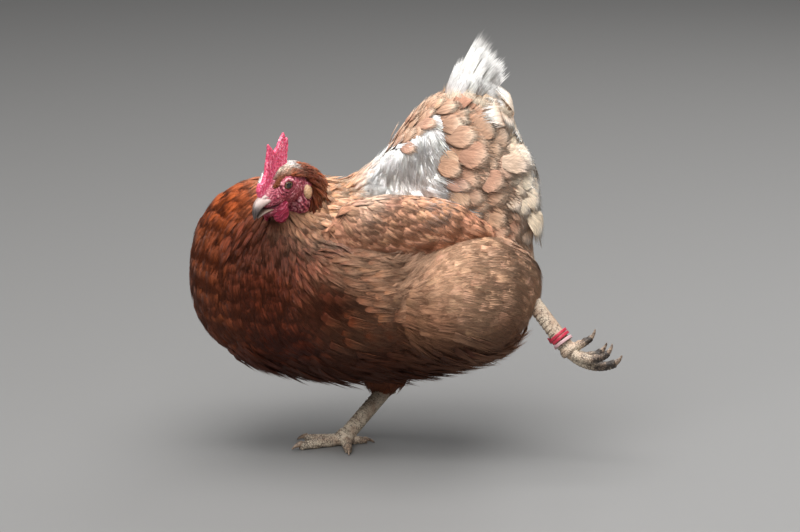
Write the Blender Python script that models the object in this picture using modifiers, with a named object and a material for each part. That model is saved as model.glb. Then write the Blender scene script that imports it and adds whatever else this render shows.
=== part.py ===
"""A brown laying hen, life size, scratching the ground: it stands on the right foot and kicks the left one back.

Metres, +Z up. The hen faces -X and its left side faces -Y. The origin is on the floor, under the ball of
the standing foot. Sizes below are in millimetres, and MM turns them into metres.
"""

import math

import bmesh
import bpy
from mathutils import Euler, Matrix, Vector
from mathutils.bvhtree import BVHTree

MM = 0.001
GAP = 0.3  # between pieces that touch

# The trunk in upright sections: distance from the front, lowest and highest point, half width.
MID_Y = 4.0  # the midline of the trunk, which leans over the standing foot
TRUNK = (
    (-130, 138, 165, 14), (-124, 113, 189, 36), (-110, 91, 211, 55), (-90, 77, 225, 67), (-64, 68, 232, 74),
    (-34, 62, 231, 78), (0, 60, 226, 80), (36, 61, 224, 79), (72, 64, 223, 76), (106, 71, 223, 70),
    (132, 82, 215, 61), (148, 101, 202, 46), (158, 130, 180, 22),
)
TRUNK_SHAPE = (1.75, 2.1)  # how square its sections are above and below the middle
# The raised rump in level sections: height, front, back, half width.
RUMP = (
    (150, 50, 138, 52), (166, 42, 151, 58), (182, 34, 159, 62), (206, 16, 163, 62), (226, 4, 162, 58),
    (243, 24, 157, 52), (258, 36, 150, 46), (273, 47, 143, 39), (286, 60, 137, 32), (296, 70, 132, 25),
    (303, 78, 126, 16),
)
# Lofted masses along a centre line: point and radius.
NECK = (((-38, 2, 172), 46), ((-39, -7, 200), 34), ((-39, -18, 219), 22), ((-40, -29, 230), 16))
DRUMSTICK_RIGHT = (
    ((42, 38, 122), 41), ((37, 36, 84), 34), ((34, 34, 59), 28), ((33, 33, 46), 20), ((29, 31, 35), 11),
    ((27, 30, 30), 7),
)
THIGH_LEFT = ((103, -59, 140), (63, 40, 50), -29)
WING_RADII = (74, 19, 36)
WING_CENTRE = (51, 53, 191)  # the Y is measured from the midline
WING_TURN = (30, 3, 0)  # outward lean, then the droop of the tip, in degrees

# The head's own frame: forward along the bill, left, up, from the middle between the eyes.
HEAD_CENTRE = Vector((-52.5, -46, 231.5))
BILL_WAY = Vector((-0.58, -0.79, -0.18)).normalized()
CROWN_WAY = Vector((-0.10, -0.15, 0.98))
SKULL = ((-7, 0, 0), (26, 15, 15.5), 0)
FACE = ((10, 0, -3), (17, 11, 12), 12)
JAW = ((7, 0, -12), (17, 9, 7.5), 14)
NAPE = ((-22, 0, -10), (17, 16, 19), 0)
HEAD_SPACE = ((13, 0, 1), (41, 34, 33), 0)
CHEEK_LOBE = ((-14, 10.5, -18), (5.5, 3.8, 8.5), 8)
EYE_PLACE = (3.5, 9.8, 4.6)
EYE_R = 5.2
LID = ((4.2, 10.6, 4.6), (7.4, 4.4, 6.8), (0, 10, -26))
LID_OPENING = ((6.0, 14.8, 4.6), (4.9, 3.9, 4.5), (0, 10, -26))
EARLOBE = ((-17, 14.4, -8.5), (4.6, 2.8, 6.6), 8)
WATTLE = ((13, 7.8, -17.5), (7.2, 2.6, 9.0), (0, 0, -32))
COMB_THICK = 4.2
COMB_LEAN = 0
COMB_OUTLINE = (
    (29, 0), (30, 6), (27.5, 11.5), (22.5, 11.5), (17.5, 18), (15, 26), (12, 34), (10.3, 41), (7, 36.5), (4, 31.5),
    (-2, 35), (-7, 40.5), (-12, 44), (-12.5, 37.5), (-16, 38), (-14.5, 31), (-11.5, 23), (-9.5, 17), (-11, 12),
    (-10, 6), (15, 3),
)
BILL_SPINE = ((19, -3.4), (26, -4.4), (32, -6.6), (35.8, -10), (38.4, -16.4))
BILL_HALF_WIDTH = (7.2, 6.2, 4.7, 3.1, 0.7)
BILL_HALF_HEIGHT = (6.2, 5.6, 4.6, 3.2, 0.7)
LOWER_SPINE = ((18, -12.6), (25, -12.4), (31, -13.6), (35, -15.6))
LOWER_HALF_WIDTH = (6.2, 5.0, 3.4, 1.1)
LOWER_HALF_HEIGHT = (2.8, 2.4, 1.8, 0.8)
NOSTRIL = ((26, 5.2, -1.6), (2.9, 1.5, 1.1), 22)

# The legs, from the hock to the ball of the foot.
SHANK_R, HOCK_R, BALL_R = 6.2, 8.4, 7.6
SOLE_PAD = ((-1, -0.5, -1.8), (9.0, 8.4, 7.4))
HOCK_RIGHT, BALL_RIGHT = Vector((37, 32, 44)), Vector((0, 0, 7.2))
HOCK_LEFT, BALL_LEFT = Vector((146, -62, 151)), Vector((186, -80, 100))
SCUTES = 11
SCUTE_STEP = 0.7
CLAW_LONG, CLAW_R = 8.0, 2.8
TOE_STEPS = 6
TOE_SIZES = {"inner": (30, 4.9), "middle": (41, 5.5), "outer": (35, 4.8), "hind": (17, 4.2)}
# Where each toe of the standing foot points, in degrees from -X towards -Y.
STANDING_WAYS = {"inner": 95, "middle": 26, "outer": -20, "hind": 196}
# Each toe of the kicked foot: the way it starts, and how far it curls in degrees.
KICKED_WAYS = {
    "inner": ((0.72, 0.40, -0.56), 72),
    "middle": ((0.70, -0.04, -0.70), 72),
    "outer": ((0.78, -0.44, -0.48), 74),
    "hind": ((0.92, -0.10, 0.36), 18),
}
KICKED_SOLE = Vector((0.52, 0.0, 0.85))
RING_AT, RING_R, RING_BAND = 0.80, 7.9, 1.3
RING_TURNS = 2.0

# Flight and tail feathers. On a wing, places are (towards the tip, towards the top edge) from its middle.
VANE_THICK = 0.9
COVERTS, FLIGHT = 6, 7
UPPER_TIER = (((-58, 16), (-56, -13)), ((-14, 23), (-12, -21)), 7.6)  # first and last root, then tip, half width
LOWER_TIER = (((-26, 22), (-22, -17)), ((20, 21), (24, -23)), 8.0)
FLIGHT_TIER = (((2, 20), (6, -16)), ((74, -4), (52, -16)), 6.8)
TAIL_ROOT = Vector((88, MID_Y, 287))
RECTRICES, TAIL_COVERTS = 7, 5

BROWN, BUFF, CREAM = (0.36, 0.13, 0.05), (0.50, 0.25, 0.12), (0.80, 0.70, 0.58)
COMB_RED, FACE_RED = (0.55, 0.05, 0.07), (0.50, 0.10, 0.12)
HORN, SCALE, CLAW_COLOUR = (0.62, 0.55, 0.45), (0.52, 0.44, 0.32), (0.30, 0.26, 0.22)


def clear_scene():
    for obj in list(bpy.data.objects):
        bpy.data.objects.remove(obj)


def material(name, colour, roughness):
    made = bpy.data.materials.get(name) or bpy.data.materials.new(name)
    made.use_nodes = True
    shader = made.node_tree.nodes["Principled BSDF"]
    shader.inputs["Base Color"].default_value = (*colour, 1)
    shader.inputs["Roughness"].default_value = roughness
    return made


def new_object(name, mesh):
    obj = bpy.data.objects.new(name, mesh)
    HEN.objects.link(obj)
    return obj


def object_from(name, bm):
    bmesh.ops.recalc_face_normals(bm, faces=bm.faces)
    if bm.calc_volume(signed=True) < 0:
        bmesh.ops.reverse_faces(bm, faces=bm.faces)
    mesh = bpy.data.meshes.new(name)
    bm.to_mesh(mesh)
    bm.free()
    return new_object(name, mesh)


def apply_modifiers(obj):
    """The mesh as its modifiers leave it, kept on the object in place of them."""
    graph = bpy.context.evaluated_depsgraph_get()
    made = bpy.data.meshes.new_from_object(obj.evaluated_get(graph))
    obj.modifiers.clear()
    obj.data = made


def ellipsoid(name, mass, fineness=20, frame=Matrix.Identity(4)):
    centre, radii, turn = mass
    turn = turn if isinstance(turn, tuple) else (0, turn, 0)
    bm = bmesh.new()
    bmesh.ops.create_uvsphere(bm, u_segments=fineness, v_segments=fineness // 2, radius=1)
    turned = Euler([math.radians(degrees) for degrees in turn])
    place = Matrix.LocRotScale(Vector(centre), turned, Vector(radii))
    bm.transform(Matrix.Scale(MM, 4) @ frame @ place)
    return object_from(name, bm)


def grown(obj, millimetres):
    """A copy whose surface stands out by this much, for cutting its neighbours."""
    copy = new_object(obj.name + "_grown", obj.data.copy())
    bm = bmesh.new()
    bm.from_mesh(copy.data)
    bm.normal_update()
    shifts = [vertex.normal * millimetres * MM for vertex in bm.verts]
    for vertex, shift in zip(bm.verts, shifts):
        vertex.co += shift
    bm.to_mesh(copy.data)
    bm.free()
    return copy


def boolean(obj, others, operation):
    """Joins to obj, or takes from it, all the others, which are then removed."""
    group = bpy.data.collections.new("operands")
    bpy.context.scene.collection.children.link(group)
    for other in others:
        HEN.objects.unlink(other)
        group.objects.link(other)
    step = obj.modifiers.new("join_or_cut", "BOOLEAN")
    step.operation = operation
    step.solver = "MANIFOLD"
    step.operand_type = "COLLECTION"
    step.collection = group
    apply_modifiers(obj)
    for other in list(group.objects):
        bpy.data.objects.remove(other)
    bpy.data.collections.remove(group)


def clear_of(obj, others):
    """Cuts obj back to leave a thin gap all round the others."""
    for gap in (GAP, 0.04):
        boolean(obj, [grown(other, gap) for other in others], "DIFFERENCE")


def keep_largest(obj):
    """Drops all but the largest closed surface of obj."""
    bm = bmesh.new()
    bm.from_mesh(obj.data)
    left, islands = set(bm.verts), []
    while left:
        island, edge = set(), [left.pop()]
        while edge:
            vertex = edge.pop()
            island.add(vertex)
            near = {link.other_vert(vertex) for link in vertex.link_edges} & left
            left -= near
            edge.extend(near)
        islands.append(island)
    largest = max(islands, key=len)
    bmesh.ops.delete(bm, geom=[v for v in bm.verts if v not in largest], context="VERTS")
    bm.to_mesh(obj.data)
    bm.free()


def finish(obj, name, made):
    keep_largest(obj)
    obj.name = obj.data.name = name
    obj.data.materials.clear()
    obj.data.materials.append(made)
    obj.data.shade_smooth()
    obj.data.set_sharp_from_angle(angle=math.radians(40))
    return obj


def blended(name, masses, voxel, faces, smoothing):
    """The masses run together into one smooth skin of about this many triangles."""
    bm = bmesh.new()
    for mass in masses:
        bm.from_mesh(mass.data)
        bpy.data.objects.remove(mass)
    obj = object_from(name, bm)
    remesh = obj.modifiers.new("one_skin", "REMESH")
    remesh.mode = "VOXEL"
    remesh.voxel_size = voxel * MM
    smooth = obj.modifiers.new("soften", "SMOOTH")
    smooth.factor = 0.6
    smooth.iterations = smoothing
    triangles = obj.modifiers.new("triangles", "TRIANGULATE")
    triangles.keep_custom_normals = False
    apply_modifiers(obj)
    thin = obj.modifiers.new("fewer_faces", "DECIMATE")
    thin.ratio = min(1.0, faces / len(obj.data.polygons))
    apply_modifiers(obj)
    return obj


def part_off(whole, cutter):
    """Parts the whole at the cutter's surface, with a thin cut. Returns the piece that was inside it."""
    outer = grown(cutter, GAP / 2)
    inner = grown(cutter, -GAP / 2)
    bpy.data.objects.remove(cutter)
    piece = new_object("piece", whole.data.copy())
    boolean(piece, [inner], "INTERSECT")
    boolean(whole, [outer], "DIFFERENCE")
    keep_largest(piece)
    return piece


def box_beyond(name, point, way, reach=400, long=None):
    """A block whose near face passes through the point and faces against the way."""
    bm = bmesh.new()
    bmesh.ops.create_cube(bm, size=1)
    depth = long or reach
    turn = Vector(way).to_track_quat("Z", "Y").to_matrix().to_4x4()
    size = Matrix.Diagonal((reach, reach, depth, 1))
    place = Matrix.Translation(Vector(point)) @ turn @ Matrix.Translation((0, 0, depth / 2)) @ size
    bm.transform(Matrix.Scale(MM, 4) @ place)
    return object_from(name, bm)


def loft(name, rings):
    """A closed tube through rings of points, all of one count, with flat ends."""
    bm = bmesh.new()
    rows = [[bm.verts.new(point * MM) for point in ring] for ring in rings]
    around = len(rows[0])
    for near, far in zip(rows, rows[1:]):
        for i in range(around):
            j = (i + 1) % around
            bm.faces.new((near[i], near[j], far[j], far[i]))
    bm.faces.new(rows[0][::-1])
    bm.faces.new(rows[-1])
    bmesh.ops.triangulate(bm, faces=bm.faces)
    return object_from(name, bm)


def tube_ring(centre, radius, way, around=16):
    turn = Vector(way).to_track_quat("Z", "Y").to_matrix()
    steps = [2 * math.pi * i / around for i in range(around)]
    return [Vector(centre) + turn @ Vector((math.cos(t), math.sin(t), 0)) * radius for t in steps]


def limb(name, stations):
    """A rounded tube through centres and radii."""
    rings = []
    for i, (centre, radius) in enumerate(stations):
        before, after = stations[max(i - 1, 0)][0], stations[min(i + 1, len(stations) - 1)][0]
        rings.append(tube_ring(centre, radius, Vector(after) - Vector(before)))
    return loft(name, rings)


def rounded(turn, power):
    """A point of a rounded square at this turn: power 2 is a circle, more is squarer."""
    c, s = math.cos(turn), math.sin(turn)
    return math.copysign(abs(c) ** (2 / power), c), math.copysign(abs(s) ** (2 / power), s)


def trunk_mass():
    rings = []
    for x, low, high, half in TRUNK:
        middle, ring = low + (high - low) * 0.46, []
        for i in range(24):
            turn = 2 * math.pi * i / 24
            y, z = rounded(turn, TRUNK_SHAPE[0] if math.sin(turn) > 0 else TRUNK_SHAPE[1])
            reach = high - middle if z > 0 else middle - low
            ring.append(Vector((x, MID_Y + y * half, middle + z * reach)))
        rings.append(ring)
    return loft("trunk", rings)


def rump_mass():
    rings = []
    for height, front, back, half in RUMP:
        ring = []
        for i in range(24):
            x, y = rounded(2 * math.pi * i / 24, 2.1)
            ring.append(Vector(((front + back) / 2 + x * (back - front) / 2, MID_Y + y * half, height)))
        rings.append(ring)
    return loft("rump_mass", rings)


def vane(name, place, rows=4):
    """A feather's vane: place(side, along) gives each point, side from -1 to 1 and along from 0 to 1."""
    bm = bmesh.new()
    bmesh.ops.create_grid(bm, x_segments=2, y_segments=rows, size=1)
    for vertex in bm.verts:
        vertex.co = place(vertex.co.x, (vertex.co.y + 1) / 2) * MM
    bmesh.ops.triangulate(bm, faces=bm.faces)
    obj = object_from(name, bm)
    shell = obj.modifiers.new("thickness", "SOLIDIFY")
    shell.thickness = VANE_THICK * MM
    shell.offset = 0
    apply_modifiers(obj)
    return obj


def vane_width(along, widest):
    """A vane's half width: narrow at the root, full from a third of the way, rounded at the tip."""
    root = 0.45 + 0.55 * min(1, along / 0.35)
    tip = math.sqrt(max(0.0, 1 - max(0.0, (along - 0.62) / 0.4) ** 2))
    return widest * root * max(0.3, tip)


def head_frame():
    forward = BILL_WAY
    left = CROWN_WAY.cross(forward).normalized()
    up = forward.cross(left)
    turn = Matrix((forward, left, up)).transposed().to_4x4()
    return Matrix.Translation(HEAD_CENTRE) @ turn


def mirrored(mass):
    (x, y, z), radii, turn = mass
    turn = turn if isinstance(turn, tuple) else (0, turn, 0)
    return ((x, -y, z), radii, (-turn[0], turn[1], -turn[2]))


def wing_frame(side):
    lean, droop, toe_in = WING_TURN
    x, y, z = WING_CENTRE
    turn = Euler((math.radians(-lean * side), math.radians(droop), math.radians(toe_in * side)))
    return Matrix.Translation((x, MID_Y + side * y, z)) @ turn.to_matrix().to_4x4()


def wing_mass(side, more=0.0):
    radii = tuple(r + more for r in WING_RADII)
    return ellipsoid("wing_mass", ((0, 0, 0), radii, 0), 16, wing_frame(side))


def make_flesh():
    """One smooth skin of trunk, neck and thighs, parted with thin cuts into nodes."""
    frame = head_frame()
    masses = [trunk_mass(), rump_mass(), wing_mass(-1), wing_mass(1)]
    trunk = blended("trunk", [new_object("copy", mass.data.copy()) for mass in masses], 5, 3000, 7)
    surface = BVHTree.FromObject(trunk, bpy.context.evaluated_depsgraph_get())
    bpy.data.objects.remove(trunk)
    masses += [limb("neck_mass", NECK), limb("drumstick", DRUMSTICK_RIGHT), ellipsoid("thigh_mass", THIGH_LEFT)]
    masses += [ellipsoid("mass", mass, 20, frame) for mass in (SKULL, NAPE)]
    whole = blended("whole", masses, voxel=4, faces=2050, smoothing=5)

    bpy.data.objects.remove(part_off(whole, head_block(frame)))
    wings = {}
    for side, name in ((-1, "wing_left"), (1, "wing_right")):
        wings[name] = part_off(whole, wing_mass(side, 1.5))
    centre, radii, tilt = THIGH_LEFT
    thighs = {"thigh_left": part_off(whole, ellipsoid("cut", (centre, tuple(r + 1.5 for r in radii), tilt), 14))}
    wider = [(centre, radius + 2) for centre, radius in DRUMSTICK_RIGHT]
    wider[-1] = ((22, 24, 26), 10)
    thighs["thigh_right"] = part_off(whole, limb("cut", wider))
    tail = part_off(whole, box_beyond("tail_block", (104, MID_Y, 291), (0.12, 0, 1), 120))
    neck = part_off(whole, ellipsoid("cut", ((-56, -8, 212), (66, 62, 60), 0), 14))
    rump = part_off(whole, box_beyond("rump_block", (66, MID_Y, 150), (0.9, 0, 0.42), 330, 200))
    hackle, buff = material("hackle_brown", BROWN, 0.8), material("plumage_buff", BUFF, 0.85)
    finish(neck, "neck", hackle)
    finish(whole, "torso", hackle)
    finish(rump, "rump", buff)
    for name, thigh in thighs.items():
        finish(thigh, name, buff)
    return surface, wings, tail


def head_block(frame):
    """The space that holds the bare head: all that is before and just below the ears."""
    return ellipsoid("head_block", HEAD_SPACE, 16, frame)


def clothe(body, vanes, neighbours):
    """Joins the vanes to the body that carries them, clear of the neighbours."""
    first, rest = vanes[0], vanes[1:]
    others = [bpy.data.objects[other] for other in neighbours]
    boolean(first, rest, "UNION")
    clear_of(first, others)
    boolean(body, [first], "UNION")
    for other in others:
        boolean(other, [grown(body, 0.04)], "DIFFERENCE")
        keep_largest(other)


def wing_vane(surface, side, start, end, half_width, lifts, roll, rows):
    """A vane laid on the bird's side. start and end are (along the wing, across it) in millimetres."""
    frame = wing_frame(side)
    inward = frame.to_3x3() @ Vector((0, -side, 0))

    def place(across, along):
        spot = Vector(start).lerp(Vector(end), along)
        way = (Vector(end) - Vector(start)).normalized()
        spot += Vector((-way.y, way.x)) * across * vane_width(along, half_width)
        lift = lifts[0] + (lifts[1] - lifts[0]) * min(1, along / 0.5) + roll * across
        outside = frame @ Vector((spot.x, side * 120, spot.y))
        hit, facing = surface.ray_cast(outside * MM, inward)[:2]
        if hit is None:
            hit, facing = surface.find_nearest(frame @ spot.to_3d().xzy * MM)[:2]
        return hit / MM + (facing - inward).normalized() * lift

    return vane("vane", place, rows)


def between(first, last, share):
    return Vector(first).lerp(Vector(last), share)


def make_wings(surface, wings):
    """Each folded wing: its rounded bow, then two tiers of coverts and the flight feathers."""
    colour = material("wing_brown", (0.42, 0.19, 0.09), 0.8)
    tiers = ((UPPER_TIER, COVERTS, (-1.4, 3.0)), (LOWER_TIER, COVERTS, (-1.4, 2.2)), (FLIGHT_TIER, FLIGHT, (-1.4, 1.2)))
    for side, name in ((-1, "wing_left"), (1, "wing_right")):
        pieces = []
        for (roots, tips, half_width), count, lifts in tiers:
            for i in range(count):
                share = i / (count - 1)
                start, end = between(*roots, share), between(*tips, share)
                rows = 4 if count == FLIGHT else 3
                pieces.append(wing_vane(surface, side, start, end, half_width, lifts, 0.45, rows))
        clothe(wings[name], pieces, ("torso", "rump", "neck", "thigh_left", "thigh_right"))
        finish(wings[name], name, colour)


def tail_vane(side, share, long, half_width, lean, out, sink, rows):
    """One tail feather. share runs from 0, the topmost, to 1, the outermost, of one half of the tail."""
    lean, out = math.radians(lean), math.radians(out)
    way = Vector((math.sin(lean), side * math.sin(out) * math.cos(lean), math.cos(lean) * math.cos(out)))
    across = Vector((math.cos(lean), 0, -math.sin(lean)))
    root = TAIL_ROOT + Vector((24 * share, side * (1.4 + 7 * share), -sink))
    bend = Vector((5, side * 3, -1))

    def place(sideways, along):
        half = vane_width(along, half_width)
        tent = Vector((0, side, 0)) * (0.6 * sideways - 0.10 * half * abs(sideways))
        return root + way * long * along + across * sideways * half + tent + bend * along * along

    return vane("vane", place, rows)


def make_tail(tail):
    """The main tail, a narrow tent of overlapping feathers, with a tier of shorter coverts on it."""
    pieces = []
    for side in (-1, 1):
        for i in range(RECTRICES):
            share = i / (RECTRICES - 1)
            pieces.append(tail_vane(side, share, 75 - 33 * share, 9, 20 + 12 * share, 3 + 13 * share, 2, 3))
        for i in range(TAIL_COVERTS):
            share = i / (TAIL_COVERTS - 1)
            pieces.append(tail_vane(side, share, 42 - 10 * share, 9.5, 6 + 34 * share, 8 + 18 * share, 6, 2))
    clothe(tail, pieces, ("rump",))
    finish(tail, "tail", material("tail_cream", CREAM, 0.75))


def bill_rings(frame, spine, half_widths, half_heights, keel):
    """Sections across the bill, ridged along the top for the upper half, or below for the lower."""
    rings = []
    for i, ((x, z), half_width, half_height) in enumerate(zip(spine, half_widths, half_heights)):
        before, after = Vector(spine[max(i - 1, 0)]), Vector(spine[min(i + 1, len(spine) - 1)])
        along = (after - before).normalized()
        up = Vector((-along.y, 0, along.x))
        ring = []
        for j in range(10):
            turn = 2 * math.pi * j / 10
            height = math.sin(turn) * half_height
            width = math.cos(turn) * half_width * (1 - 0.25 * max(0, math.sin(turn) * keel))
            if height * keel < 0:
                height *= 0.45
            ring.append(frame @ (Vector((x, width, z)) + up * height))
        rings.append(ring)
    return rings


def make_head():
    frame = head_frame()
    masses = [ellipsoid("mass", mass, 20, frame) for mass in (SKULL, FACE, JAW, NAPE)]
    masses += [ellipsoid("mass", mass, 14, frame) for mass in (CHEEK_LOBE, mirrored(CHEEK_LOBE))]
    masses.append(limb("neck_mass", NECK))
    head = blended("head_skin", masses, voxel=1.6, faces=800, smoothing=3)
    skin = part_off(head, head_block(frame))
    bpy.data.objects.remove(head)

    red, horn = material("face_red", FACE_RED, 0.6), material("bill_horn", HORN, 0.35)
    eyes = []
    for side, name in ((1, "eye_left"), (-1, "eye_right")):
        x, y, z = EYE_PLACE
        lid, opening = (mass if side > 0 else mirrored(mass) for mass in (LID, LID_OPENING))
        boolean(skin, [ellipsoid("lid", lid, 16, frame)], "UNION")
        eye = ellipsoid(name, ((x, side * y, z), (EYE_R,) * 3, 0), 12, frame)
        eyes.append((eye, name))
        boolean(skin, [grown(eye, GAP), ellipsoid("opening", opening, 14, frame)], "DIFFERENCE")
    finish(skin, "head", red)
    for eye, name in eyes:
        finish(eye, name, material("eye_amber", (0.45, 0.22, 0.05), 0.1))

    upper = loft("bill_upper", bill_rings(frame, BILL_SPINE, BILL_HALF_WIDTH, BILL_HALF_HEIGHT, 1))
    lower = loft("bill_lower", bill_rings(frame, LOWER_SPINE, LOWER_HALF_WIDTH, LOWER_HALF_HEIGHT, -1))
    for side in (1, -1):
        hole = ellipsoid("nostril", NOSTRIL if side > 0 else mirrored(NOSTRIL), 8, frame)
        boolean(upper, [hole], "DIFFERENCE")
    clear_of(upper, [skin])
    finish(upper, "bill_upper", horn)
    clear_of(lower, [skin, upper])
    finish(lower, "bill_lower", horn)
    make_comb(frame, skin, upper)
    make_lobes(frame, skin)


def make_comb(frame, skin, upper):
    """A single upright comb with pointed teeth, thinner towards its tips."""
    outline = bpy.data.curves.new("comb_outline", "CURVE")
    outline.dimensions = "2D"
    outline.fill_mode = "BOTH"
    outline.extrude = COMB_THICK / 2 * MM
    spline = outline.splines.new("POLY")
    spline.points.add(len(COMB_OUTLINE) - 1)
    for point, (x, z) in zip(spline.points, COMB_OUTLINE):
        point.co = (x * MM, z * MM, 0, 1)
    spline.use_cyclic_u = True
    guide = new_object("comb_guide", outline)
    mesh = bpy.data.meshes.new_from_object(guide.evaluated_get(bpy.context.evaluated_depsgraph_get()))
    bpy.data.objects.remove(guide)
    bm = bmesh.new()
    bm.from_mesh(mesh)
    bmesh.ops.remove_doubles(bm, verts=bm.verts, dist=1e-6)
    bmesh.ops.triangulate(bm, faces=bm.faces)
    for vertex in bm.verts:
        x, z, y = vertex.co
        taper = 1 - 0.72 * max(0, min(1, (z / MM - 12) / 40))
        vertex.co = (x, y * taper + math.sin(math.radians(COMB_LEAN)) * z, z)
    bm.transform(Matrix.Scale(MM, 4) @ frame @ Matrix.Scale(1 / MM, 4))
    comb = object_from("comb", bm)
    clear_of(comb, [skin, upper, bpy.data.objects["neck"]])
    finish(comb, "comb", material("comb_red", COMB_RED, 0.5))


def make_lobes(frame, skin):
    """The wattles under the bill and the pale lobes at the ears."""
    red, pale = material("comb_red", COMB_RED, 0.5), material("earlobe_pale", (0.62, 0.45, 0.32), 0.6)
    for side, hand in ((1, "left"), (-1, "right")):
        for kind, mass, made in (("wattle", WATTLE, red), ("earlobe", EARLOBE, pale)):
            placed = mass if side > 0 else mirrored(mass)
            lobe = ellipsoid(kind, placed, 12, frame)
            others = [skin] + [bpy.data.objects[other] for other in ("neck", "torso", "bill_lower")]
            clear_of(lobe, others)
            finish(lobe, f"{kind}_{hand}", made)


def leg_frame(hock, ball, toes_way):
    """Axes of a shank: along it from the hock down, its front, and across it."""
    along = (ball - hock).normalized()
    front = (toes_way - along * toes_way.dot(along)).normalized()
    return along, front, along.cross(front)


def make_shank(name, hock, ball, toes_way, thigh, made):
    """The scaled shank from the hock to the ball of the foot, with stepped scutes down its front."""
    along, front, across = leg_frame(hock, ball, toes_way)
    long = (ball - hock).length
    rings = []
    for i in range(2 * SCUTES + 1):
        share = i / (2 * SCUTES)
        knob = HOCK_R * math.exp(-((share / 0.14) ** 2)) + BALL_R * math.exp(-(((1 - share) / 0.12) ** 2))
        radius = max(SHANK_R, knob)
        step = SCUTE_STEP if i % 2 else 0
        ring = []
        for j in range(10):
            turn = 2 * math.pi * j / 10
            facing = math.cos(turn)
            reach = radius * (1 + 0.10 * facing * facing) + step * max(0, facing)
            point = hock + along * long * share + front * facing * reach
            point += across * math.sin(turn) * radius * 0.88
            ring.append(point)
        rings.append(ring)
    rings.append([point.lerp(ball, 0.35) + along * BALL_R * 0.55 for point in rings[-1]])
    shank = loft(name, rings)
    if ball.z < BALL_R * 2:
        pad_centre, pad_radii = SOLE_PAD
        pad = ellipsoid("sole_pad", (ball + Vector(pad_centre), pad_radii, 0), 14)
        boolean(pad, [box_beyond("floor", (0, 0, 0), (0, 0, -1), 100)], "DIFFERENCE")
        boolean(shank, [pad], "UNION")
    clear_of(shank, [bpy.data.objects[thigh]])
    return finish(shank, name, made)


def toe_path(start, way, sole, long, curl):
    """Centre line of a toe that bends towards its sole by curl degrees over its length."""
    points, spot, steps = [start.copy()], start.copy(), TOE_STEPS
    axis = sole.cross(way).normalized()
    for i in range(steps):
        turn = Matrix.Rotation(-math.radians(curl) * ((i + 0.5) / steps) ** 1.2, 3, axis)
        spot = spot + (turn @ way) * long / steps
        points.append(spot.copy())
    return points


def tube(name, points, radii, sole, flat_floor, around=8, pads=0.0):
    """A tube along the points, with soft pads under it and its underside flat where it meets the floor."""
    rings = []
    for i, (point, radius) in enumerate(zip(points, radii)):
        ahead = points[min(i + 1, len(points) - 1)] - points[max(i - 1, 0)]
        across = ahead.cross(sole).normalized()
        below = across.cross(ahead).normalized() * -1
        if below.dot(sole) < 0:
            below = -below
        swell = 1 + pads * (0.5 + 0.5 * math.cos(i * math.pi))
        ring = []
        for j in range(around):
            turn = 2 * math.pi * (j + 0.5) / around
            deep = math.cos(turn)
            spot = point + across * math.sin(turn) * radius * (1 + 0.4 * (swell - 1))
            spot += below * deep * radius * (swell if deep > 0 else 1)
            if flat_floor:
                spot.z = max(spot.z, 0)
            ring.append(spot)
        rings.append(ring)
    return loft(name, rings)


def make_foot(hand, ball, ways, sole, shank, made, claw_made):
    """Four toes from the ball of the foot, each with its claw."""
    standing = hand == "right"
    before = [shank]
    for toe in ("middle", "inner", "outer", "hind"):
        long, thick = TOE_SIZES[toe]
        way, curl = ways[toe]
        way = Vector(way).normalized()
        start = ball + way * 2 + (sole * 3 if toe == "hind" else sole * 0)
        points = toe_path(start, way, sole, long, curl)
        radii = [thick * (1 - 0.38 * i / TOE_STEPS) for i in range(TOE_STEPS + 1)]
        if standing:
            for point, radius in zip(points, radii):
                point.z = radius * 0.92
        obj = tube(f"toe_{hand}_{toe}", points, radii, sole, standing, pads=0.14)
        clear_of(obj, before)
        finish(obj, f"toe_{hand}_{toe}", made)
        make_claw(f"claw_{hand}_{toe}", obj, points, radii[-1], sole, standing, claw_made)
        before.append(obj)


def make_claw(name, toe, points, radius, sole, standing, made):
    """A blunt horn claw that bends down from the end of its toe."""
    way = (points[-1] - points[-2]).normalized()
    start = points[-1] - way * 3.0
    if standing:
        start.z = radius * 1.5
    path = toe_path(start, way, sole, CLAW_LONG + 3.0, 40 if standing else 50)
    radii = [min(CLAW_R, radius * 0.86) * (1 - 0.85 * (i / TOE_STEPS) ** 1.3) for i in range(TOE_STEPS + 1)]
    claw = tube(name, path, radii, sole, standing, around=6)
    clear_of(claw, [toe])
    finish(claw, name, made)


def make_ring(hock, ball, toes_way):
    """A coiled plastic leg ring, a flat band wound twice round the kicked shank, and a plain pale band."""
    along, front, across = leg_frame(hock, ball, toes_way)
    long = (ball - hock).length
    centre = hock + along * long * RING_AT
    for name, turns, shift, colour in (
        ("leg_ring_red", RING_TURNS, -4.6, (0.60, 0.03, 0.05)),
        ("leg_ring_pale", 1.0, 4.4, (0.80, 0.50, 0.50)),
    ):
        steps = int(18 * turns) - 1
        rings = []
        for i in range(steps):
            turn = 2 * math.pi * i / 18
            out = front * math.cos(turn) + across * math.sin(turn)
            middle = centre + along * (shift + (turns > 1) * (2 * RING_BAND + 0.5) * turn / (2 * math.pi))
            section = ((0.0, -1), (1.2, -1), (1.2, 1), (0.0, 1))
            rings.append([middle + out * (RING_R + deep) + along * RING_BAND * side for deep, side in section])
        band = loft(name, rings)
        finish(band, name, material(name, colour, 0.3))


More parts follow.
